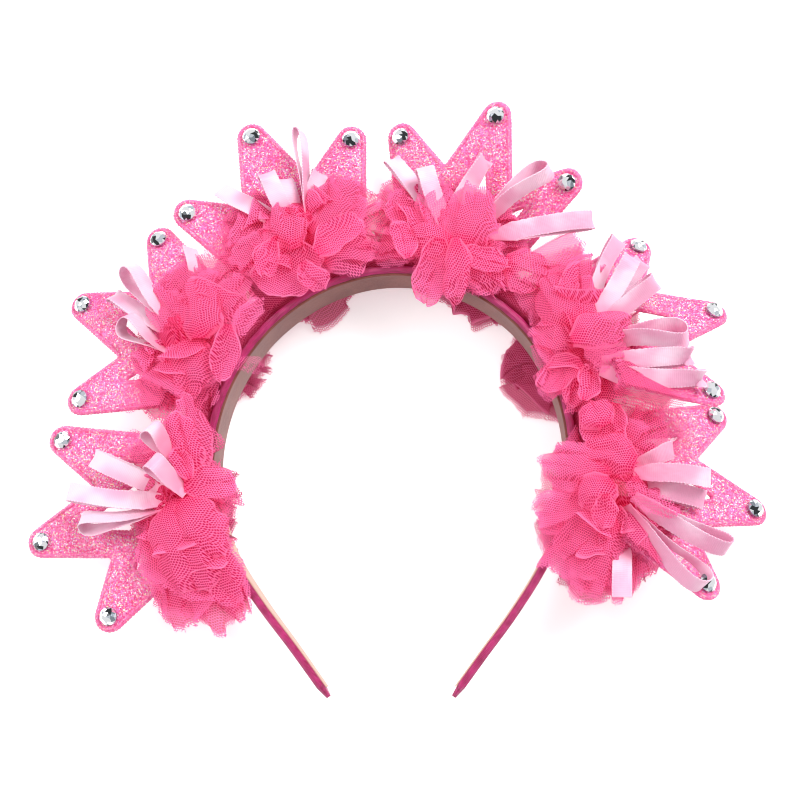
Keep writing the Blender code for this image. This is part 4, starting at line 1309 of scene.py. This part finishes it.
# Single folds of net that lie over the gathered layers. dome lifts the middle (or, when
# negative, the sides), curl bends the tip up, folds wrinkles it along its length,
# see is how open the net looks.
PETALS = (
    # unit, root x, y, z, tip x, y, z, width, dome, curl, folds, folded, see
    # lower left
    (1, 170, 488, 27, 128, 434, 26, 15.0, 1.5, 0.0, 2, 0, 0.80),
    (1, 200, 505, 29, 243, 507, 28, 14.0, 1.5, 0.0, 2, 0, 0.85),
    (1, 178, 545, 29, 186, 632, 24, 20.0, 2.5, -1.0, 2, 0, 0.22),
    (1, 200, 545, 29, 226, 636, 24, 21.0, 2.5, -1.0, 2, 0, 0.22),
    (1, 210, 550, 29, 248, 622, 24, 12.0, 2.0, 0.0, 2, 0, 0.30),
    (1, 196, 530, 31, 236, 606, 28, 19.0, 3.0, -1.0, 2, 0, 0.35),
    (1, 170, 503, 33, 148, 556, 28, 12.0, 2.0, -1.0, 2, 0, 0.45),
    (1, 192, 485, 35, 184, 398, 36, 15.5, 3.0, 0.0, 2, 1, 0.45),
    (1, 186, 480, 38, 180, 412, 38, 11.5, 2.5, 1.0, 1, 1, 0.40),
    (1, 180, 498, 37, 196, 598, 33, 24.5, 4.5, -1.5, 2, 1, 0.40),
    (1, 182, 500, 39, 222, 552, 35, 17.0, 3.5, -1.0, 2, 1, 0.38),
    (1, 184, 486, 40, 240, 481, 36, 11.5, -2.0, 1.0, 1, 1, 0.38),
    (1, 190, 478, 42, 174, 450, 41, 6.5, -1.0, 1.0, 1, 1, 0.30),
    # left
    (2, 200, 372, 26, 190, 412, 24, 20.0, 1.5, 0.0, 2, 0, 0.45),
    (2, 186, 372, 26, 146, 416, 23, 17.0, 1.5, 0.0, 2, 0, 0.48),
    (2, 180, 352, 27, 122, 410, 26, 18.0, 1.5, 0.0, 2, 0, 0.80),
    (2, 182, 322, 28, 176, 262, 27, 17.0, 1.5, 0.0, 2, 0, 0.55),
    (2, 225, 360, 30, 266, 366, 29, 6.5, 0.8, 0.0, 1, 0, 0.80),
    (2, 190, 345, 30, 152, 368, 28, 14.0, 2.0, -1.0, 3, 0, 0.45),
    (2, 215, 330, 32, 246, 274, 31, 17.0, 2.5, 0.0, 2, 0, 0.42),
    (2, 190, 336, 33, 152, 288, 31, 15.0, 2.5, -1.0, 2, 0, 0.45),
    (2, 192, 335, 34, 186, 400, 31, 21.0, 3.5, -1.5, 2, 0, 0.42),
    (2, 198, 338, 37, 196, 280, 34, 15.5, 3.5, -1.0, 2, 1, 0.40),
    (2, 228, 340, 37, 264, 298, 33, 8.0, 1.5, 0.0, 1, 0, 0.45),
    (2, 228, 324, 41, 220, 383, 36, 9.5, -2.6, 0.5, 1, 1, 0.35),
    # upper left
    (3, 330, 238, 28, 386, 204, 26, 17.0, 1.5, 0.0, 3, 0, 0.50),
    (3, 332, 248, 30, 384, 244, 28, 13.0, 1.5, 0.0, 2, 0, 0.40),
    (3, 288, 238, 27, 204, 246, 26, 20.0, 1.5, 0.0, 2, 0, 0.80),
    (3, 285, 250, 27, 206, 280, 26, 17.0, 1.5, 0.0, 3, 0, 0.45),
    (3, 312, 240, 28, 318, 196, 28, 9.0, 1.0, 0.0, 1, 0, 0.80),
    (3, 318, 245, 32, 352, 176, 30, 22.0, 3.0, -1.0, 2, 0, 0.45),
    (3, 296, 248, 36, 278, 200, 34, 16.0, 3.0, -1.0, 2, 0, 0.50),
    (3, 320, 248, 33, 376, 250, 30, 20.0, 3.0, -1.0, 2, 0, 0.42),
    (3, 282, 240, 33, 232, 266, 31, 15.0, 3.0, -1.0, 2, 0, 0.42),
    (3, 284, 236, 37, 282, 300, 33, 25.0, -4.0, 2.0, 1, 1, 0.35),
    (3, 316, 252, 39, 360, 217, 37, 12.0, -1.5, 1.0, 1, 1, 0.40),
    (3, 302, 262, 39, 326, 290, 35, 9.0, -1.5, 0.5, 1, 1, 0.40),
    (3, 274, 240, 41, 262, 276, 38, 8.5, -2.2, 0.5, 1, 1, 0.35),
    # upper right
    (4, 432, 240, 28, 372, 222, 26, 18.0, 1.5, 0.0, 3, 0, 0.50),
    (4, 418, 252, 30, 370, 252, 28, 11.0, 1.5, 0.0, 2, 0, 0.40),
    (4, 440, 236, 28, 384, 178, 26, 17.0, 1.5, 0.0, 3, 0, 0.45),
    (4, 486, 244, 29, 522, 208, 29, 11.0, 1.0, 0.0, 1, 0, 0.90),
    (4, 440, 245, 36, 434, 174, 34, 15.0, 2.5, 0.0, 2, 0, 0.62),
    (4, 420, 248, 31, 376, 236, 28, 15.0, 3.0, -1.0, 3, 0, 0.42),
    (4, 505, 268, 31, 590, 250, 28, 14.0, 2.0, 0.0, 3, 0, 0.50),
    (4, 430, 240, 34, 388, 198, 32, 12.0, -2.0, 1.0, 1, 1, 0.42),
    (4, 462, 248, 37, 478, 180, 36, 19.0, 4.0, -1.0, 2, 0, 0.52),
    (4, 468, 252, 34, 506, 292, 31, 17.0, 3.0, -1.0, 2, 0, 0.40),
    (4, 505, 260, 33, 550, 276, 31, 15.0, 3.0, -1.0, 2, 1, 0.42),
    (4, 452, 240, 38, 406, 240, 36, 13.0, 3.0, -1.5, 1, 1, 0.38),
    (4, 440, 238, 40, 426, 306, 34, 12.5, -2.5, 0.5, 1, 1, 0.42),
    (4, 456, 238, 42, 454, 306, 35, 9.0, 2.0, -0.5, 1, 1, 0.38),
    (4, 462, 250, 40, 510, 266, 36, 9.0, -2.0, 0.5, 1, 1, 0.38),
    (4, 408, 258, 39, 397, 220, 38, 7.5, -1.8, 0.5, 1, 1, 0.38),
    # right
    (5, 600, 390, 27, 694, 400, 24, 15.0, 1.5, 0.0, 2, 0, 0.62),
    (5, 592, 385, 29, 668, 402, 26, 18.0, 2.0, 0.0, 2, 0, 0.50),
    (5, 590, 372, 30, 568, 416, 27, 13.0, 2.0, -1.0, 3, 0, 0.45),
    (5, 575, 350, 31, 542, 398, 29, 14.5, 2.0, -1.0, 2, 0, 0.68),
    (5, 588, 340, 34, 580, 276, 31, 18.0, 3.0, -1.0, 2, 0, 0.42),
    (5, 580, 335, 34, 528, 336, 31, 16.0, 3.0, -1.0, 2, 0, 0.42),
    (5, 582, 326, 35, 544, 274, 32, 17.0, 3.0, -1.0, 2, 1, 0.42),
    (5, 590, 370, 34, 566, 404, 31, 9.0, -1.5, 0.5, 1, 1, 0.40),
    (5, 582, 362, 36, 538, 386, 32, 11.0, -2.0, 0.5, 1, 1, 0.42),
    (5, 584, 352, 40, 632, 350, 37, 13.0, 3.0, -1.0, 2, 0, 0.62),
    (5, 572, 340, 42, 630, 318, 38, 12.0, 3.0, -1.0, 1, 1, 0.45),
    (5, 584, 400, 37, 590, 364, 35, 7.5, -1.8, 0.5, 1, 1, 0.35),
    # lower right
    (6, 612, 446, 28, 668, 420, 26, 19.0, 2.0, 0.0, 3, 0, 0.45),
    (6, 625, 460, 27, 692, 424, 25, 18.0, 1.5, 0.0, 2, 0, 0.82),
    (6, 604, 545, 29, 576, 602, 24, 20.0, 2.0, 0.0, 2, 0, 0.28),
    (6, 618, 520, 30, 622, 602, 25, 16.0, 2.0, -1.0, 2, 0, 0.26),
    (6, 622, 520, 29, 650, 578, 25, 13.0, 1.5, 0.0, 2, 0, 0.30),
    (6, 610, 505, 34, 556, 552, 30, 19.0, 3.0, -1.0, 2, 0, 0.42),
    (6, 608, 488, 33, 531, 521, 31, 16.0, 2.5, 0.0, 2, 0, 0.50),
    (6, 612, 468, 35, 538, 464, 33, 18.0, 3.0, 0.0, 2, 0, 0.48),
    (6, 612, 512, 34, 588, 596, 28, 18.0, 3.5, -1.0, 2, 0, 0.42),
    (6, 615, 505, 37, 612, 556, 33, 11.0, -1.5, 0.5, 1, 1, 0.40),
    (6, 612, 402, 36, 598, 452, 34, 16.0, -3.0, 1.0, 1, 1, 0.38),
    (6, 606, 425, 38, 590, 400, 36, 12.0, 2.5, -0.5, 1, 1, 0.38),
    (6, 636, 462, 37, 580, 448, 34, 15.0, 3.0, -1.0, 2, 1, 0.40),
    (6, 612, 480, 41, 584, 508, 37, 12.0, 3.0, -1.0, 1, 1, 0.40),
    (6, 606, 494, 42, 604, 530, 39, 8.0, -2.2, 0.5, 1, 1, 0.35),
    (6, 626, 484, 42, 680, 516, 38, 9.0, 2.0, 0.0, 2, 0, 0.70),
)


def fan(seed, row):
    """A fold of net that spreads from its root into a wavy edge."""
    x0, y0, z0, x1, y1, z1, width, dome, curl, folds, folded, see = row
    rng = np.random.RandomState(seed)
    root, tip = spot(x0, y0, z0), spot(x1, y1, z1)
    axis = tip - root
    length = np.linalg.norm(axis)
    axis /= length
    side = np.cross((0.0, 0.0, 1.0), axis)
    side /= np.linalg.norm(side)
    up = np.cross(axis, side)
    rows, cols = 18, folds * 22 + 1
    v = np.linspace(0, 1, rows)[:, None]
    w = np.linspace(-1, 1, cols)
    spread = min(1.15, math.atan2(width * 0.55, length * 0.62))
    widths = rng.lognormal(0.0, 0.35, folds)
    cuts = np.concatenate([[0], np.cumsum(widths)]) / widths.sum()
    phase = 2 * math.pi * np.interp((w + 1) / 2, cuts, np.arange(folds + 1)) + rng.uniform(0, 6.28)
    k = np.hanning(13)
    pad = np.concatenate([2 * phase[0] - phase[1:7][::-1], phase, 2 * phase[-1] - phase[-7:-1][::-1]])
    phase = np.convolve(pad, k / k.sum(), mode="valid")
    amp = smooth_random(rng, cols, folds, 0.5, 1.4)
    lean = smooth_random(rng, cols, folds, -1.0, 1.0)
    small = smooth_random(rng, cols, folds * 7, -1.0, 1.0)
    grow = smooth_random(rng, cols, folds * 2, -0.12, 0.05)
    theta = spread * w
    pitch = 1.25 * width / folds
    r = length * (0.06 + 0.94 * v**0.95) * (1 - 0.20 * w**2 + grow)
    env, env2 = v**1.2, v**1.7
    r = r + env2 * 0.10 * pitch * amp * np.cos(2 * phase) + 0.35 * env * small
    t_ = -0.17 * pitch * amp * env2 * np.sin(2 * phase) + 1.6 * lean * env2
    along_ = r * np.cos(theta) - t_ * np.sin(theta)
    off = r * np.sin(theta) + t_ * np.cos(theta)
    height = dome * (1 - w**2) * np.sin(math.pi * v**0.8) + curl * v**3 - 1.8 * w**4 * v
    height = height + 0.26 * pitch * amp * env * np.sin(phase)
    height = height + v * (1.0 * (creases(rng, off, along_, 9.0) - 0.4) + 0.5 * (creases(rng, off, along_, 4.0) - 0.4))
    p = root + axis * along_[..., None] + side * off[..., None] + up * height[..., None]
    over, _ = limits(p[..., 0].ravel(), p[..., 1].ravel())
    p[..., 2] = soft_floor(p[..., 2], over.reshape(p.shape[:2]) + 0.5, 0.5)
    fx, fy = grid_measure(p)
    uv = lay_net(rng, p)
    edge = np.minimum((fy[-1] - fy)[:, None], np.minimum(fx, fx[-1] - fx)[None, :] + 0.1)
    gather = np.clip(1.0 - v * 3.0, 0, 1) * np.ones((1, cols))
    return p, uv, edge, gather, float(folded), 0.0, see


def petal(seed, row):
    x0, y0, z0, x1, y1, z1, width, dome, curl, folds, folded, see = row
    if folds >= 3:
        return fan(seed, row)
    rng = np.random.RandomState(seed)
    root, tip = spot(x0, y0, z0), spot(x1, y1, z1)
    axis = tip - root
    length = np.linalg.norm(axis)
    axis /= length
    side = np.cross((0.0, 0.0, 1.0), axis)
    side /= np.linalg.norm(side)
    up = np.cross(axis, side)
    rows, cols = 24, 45
    v = np.linspace(0, 1, rows)[:, None]
    w = np.linspace(-1, 1, cols)[None, :]
    body = np.interp(v[:, 0], (0, 0.10, 0.25, 0.45, 0.72, 0.88, 1.0), (0.36, 0.55, 0.84, 1.0, 1.0, 0.92, 0.74))[:, None]
    body = body * (1 + 0.10 * smooth_random(rng, rows, 5, -1, 1)[:, None])
    small = smooth_random(rng, cols, 16, -1.0, 1.0)[None, :]
    broad = smooth_random(rng, cols, 5, -1.0, 1.0)[None, :]
    along_ = length * v * (1 - 0.26 * np.abs(w) ** 2.3 + 0.07 * broad + 0.02 * small)
    off = width / 2 * body * w
    bend = smooth_random(rng, rows, 2, -1.0, 1.0)[:, None] * 1.6 * np.sin(math.pi * v)
    fold = np.sin(math.pi * folds * w + rng.uniform(0, 6.28) + 0.9 * broad)
    height = dome * (1 - w**2) * (np.sin(math.pi * v**0.8) * 0.7 + 0.3 * v) + curl * v**3 - 1.2 * w**4
    if dome < 0:
        height = dome * (1 - np.abs(w) ** 1.6) * np.sin(math.pi * np.clip(v * 0.85, 0, 1)) ** 0.8 + curl * v**3
    height = height + 1.2 * v**0.8 * fold * (1 - 0.35 * w**2) + 0.18 * small * v
    off2 = off + bend - 0.8 * v * np.sin(2 * math.pi * folds * w)
    height = height + 1.5 * v**0.6 * (creases(rng, off, along_, 9.0) - 0.4) + 0.7 * (creases(rng, off, along_, 4.2) - 0.4)
    rim = np.clip((np.abs(w) - 0.86) / 0.14, 0, 1) + np.clip((v - 0.93) / 0.07, 0, 1)
    height = height - 0.6 * folded * np.minimum(rim, 1) ** 2
    p = root + axis * along_[..., None] + side * off2[..., None] + up * height[..., None]
    over, _ = limits(p[..., 0].ravel(), p[..., 1].ravel())
    p[..., 2] = soft_floor(p[..., 2], over.reshape(p.shape[:2]) + 0.5, 0.5)
    uv = lay_net(rng, p)
    edge = np.minimum((1 - v) * length + 0.0 * w, (1 - np.abs(w)) * width / 2 * body)
    gather = (0.25 if see > 0.6 else 1.0) * np.clip(1.0 - v * 3.6, 0, 1) * np.ones((1, cols))
    return p, uv, edge, gather, float(folded), 0.0, see


SPANS = ((44.0, 97.0), (95.0, 147.0), (145.0, 193.0), (191.0, 238.0), (236.0, 290.0), (288.0, 316.0))
SKIRTS = (
    # n and z at the band, n and z at the edge, wave
    (3.2, 25.5, 15.0, 24.0, 2.0),
    (3.2, 21.0, 13.0, 18.5, 2.0),
    (3.2, 11.0, 15.0, 5.0, 1.6),
)


def skirt(seed, span, row):
    n0, z0, n1, z1, wave = row
    rng = np.random.RandomState(seed)
    s0, s1 = span
    count = max(3, int((s1 - s0) / 9.0))
    cols, rows = count * 26 + 1, 12
    s = np.linspace(s0, s1, cols)
    v = np.linspace(0, 1, rows)[:, None]
    phase = 2 * math.pi * count * np.linspace(0, 1, cols) + 1.4 * smooth_random(rng, cols, count, -1, 1)
    amp = smooth_random(rng, cols, count, 0.5, 1.5)
    grow = smooth_random(rng, cols, count * 2, -1.0, 1.0)
    px, py, nx, ny, _ = along(s)
    env = v**1.2
    off = n0 + (n1 - n0 + 1.8 * grow) * v + 0.8 * env * np.cos(2 * phase)
    slide = -1.9 * amp * env * np.sin(2 * phase)
    x = px + nx * off - ny * -slide
    y = py + ny * off + nx * -slide
    z = z0 + (z1 - z0) * v + wave * amp * env * np.sin(phase) + 0.8 * v * (creases(rng, x, y, 6.0) - 0.4)
    over, under = limits(x.ravel(), y.ravel())
    z = -soft_floor(-z, -(under.reshape(x.shape) - 0.4), 0.6)
    z = np.maximum(z, 0.6)
    p = np.stack([x, y, z], axis=-1)
    fx, fy = grid_measure(p)
    uv = lay_net(rng, p)
    edge = (fy[-1] - fy)[:, None] * np.ones((1, cols))
    gather = np.clip(1.0 - (v * 2.0), 0, 1) * np.ones((1, cols))
    # painted shade: the skirts low along the band get a painted_light_tone of 0.52
    return p, uv, edge, gather, 0.0, 0.52, 0.20


def heart(seed, middle):
    """The bunched net in the middle of a rosette."""
    rng = np.random.RandomState(seed)
    rows, cols = 14, 73
    v = np.linspace(0, 1, rows)[:, None]
    phi = np.linspace(0, 2 * math.pi, cols)[None, :]
    spokes = np.sin(9 * phi + 1.5 * smooth_random(rng, cols, 9, -1, 1)[None, :]) * np.sin(math.pi * np.clip(v * 1.3, 0, 1))
    spokes[:, -1] = spokes[:, 0]
    r = 0.2 + 8.6 * v
    x, y = middle[0] + r * np.cos(phi), middle[1] + r * np.sin(phi)
    z = 36.2 - 1.0 * v - 7.5 * v**2.4 + 0.7 * spokes
    p = np.stack([x, y, z], axis=-1)
    uv = lay_net(rng, p)
    one = np.ones((rows, cols))
    return p, uv, 6.0 * one, 0.75 * one, 0.0, 0.0, 0.25


def make_tulle(index):
    (mx, my), outward, front, back = ROSETTES[index - 1]
    middle = spot(mx, my, 27.0)
    grids = [
        frill(1000 * index + 31 * k, middle, outward, front, back, layer, LAYER_RANK[k])
        for k, layer in enumerate(LAYERS)
    ]
    grids += [petal(5000 + 100 * index + k, r[1:-1] + (r[-1] if r[-1] > 0.6 else 0.62 * r[-1],)) for k, r in enumerate(p for p in PETALS if p[0] == index)]
    grids.append(heart(8000 + index, middle))
    grids += [skirt(7000 + 10 * index + k, SPANS[index - 1], r) for k, r in enumerate(SKIRTS)]
    points, faces, uvs = [], [], []
    attrs = {"edge": [], "gather": [], "folded": [], "painted_light_tone": [], "see": []}
    start, area = 0, 0.0
    for p, uv, edge, gather, folded, painted_light_tone, see in grids:
        rows, cols = p.shape[:2]
        points.append(p.reshape(-1, 3))
        uvs.append(uv.reshape(-1, 2))
        faces.append(grid_faces(rows, cols, start))
        attrs["edge"].append(edge.ravel())
        attrs["gather"].append(gather.ravel())
        attrs["folded"].append(np.full(rows * cols, folded))
        attrs["painted_light_tone"].append(np.full(rows * cols, painted_light_tone))
        attrs["see"].append(np.full(rows * cols, see))
        start += rows * cols
        a, b, c, d = p[:-1, :-1], p[:-1, 1:], p[1:, 1:], p[1:, :-1]
        area += (np.linalg.norm(np.cross(c - a, d - b), axis=2) / 2).sum()
    ob = build(
        f"tulle_rosette_{index}",
        np.vstack(points),
        np.vstack(faces),
        [TULLE],
        uv=np.vstack(uvs),
        attrs={k: np.concatenate(v) for k, v in attrs.items()},
    )
    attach(ob, "root")
    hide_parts(f"tulle_ruffle_{index}")
    flat = area / 0.85 * MM * MM
    return flat


for i in range(1, 7):
    make_tulle(i)


# ---- floor, light and colour ----------------------------------------------
def make_stage():
    floor_mat = plain_material("floor_white", (0.93, 0.93, 0.93, 1.0), 0.8, 0.42)
    mesh = bpy.data.meshes.new("floor")
    s = 3.0
    mesh.from_pydata([(-s, -s, 0), (s, -s, 0), (s, s, 0), (-s, s, 0)], [], [(0, 1, 2, 3)])
    mesh.materials.append(floor_mat)
    floor = link("floor", mesh)
    floor.location.z = -0.0002

    def area(name, at, size, energy, colour=(1.0, 1.0, 1.0)):
        data = bpy.data.lights.new(name, "AREA")
        data.shape = "RECTANGLE"
        data.size, data.size_y = size
        data.energy = energy
        data.color = colour
        ob = bpy.data.objects.new(name, data)
        bpy.context.scene.collection.objects.link(ob)
        ob.location = at
        ob.rotation_mode = "QUATERNION"
        ob.rotation_quaternion = (-Vector(at)).to_track_quat("-Z", "Y")

    area("key", (0.48, 0.42, 0.72), (0.50, 0.40), 7.4)
    area("fill", (-0.62, 0.12, 0.66), (0.60, 0.60), 4.0)
    world = bpy.data.worlds.new("studio")
    world.use_nodes = True
    world.node_tree.nodes["Background"].inputs[0].default_value = (1.0, 1.0, 1.0, 1.0)
    world.node_tree.nodes["Background"].inputs[1].default_value = 0.66
    bpy.context.scene.world = world
    scene = bpy.context.scene
    scene.view_settings.view_transform = "Standard"
    scene.view_settings.look = "None"
    scene.view_settings.exposure = 0.0
    scene.cycles.transparent_max_bounces = 16
    scene.cycles.max_bounces = 7
    scene.cycles.filter_width = 1.1
    scene.cycles.diffuse_bounces = 3
    scene.cycles.glossy_bounces = 3
    scene.cycles.transmission_bounces = 5


make_stage()
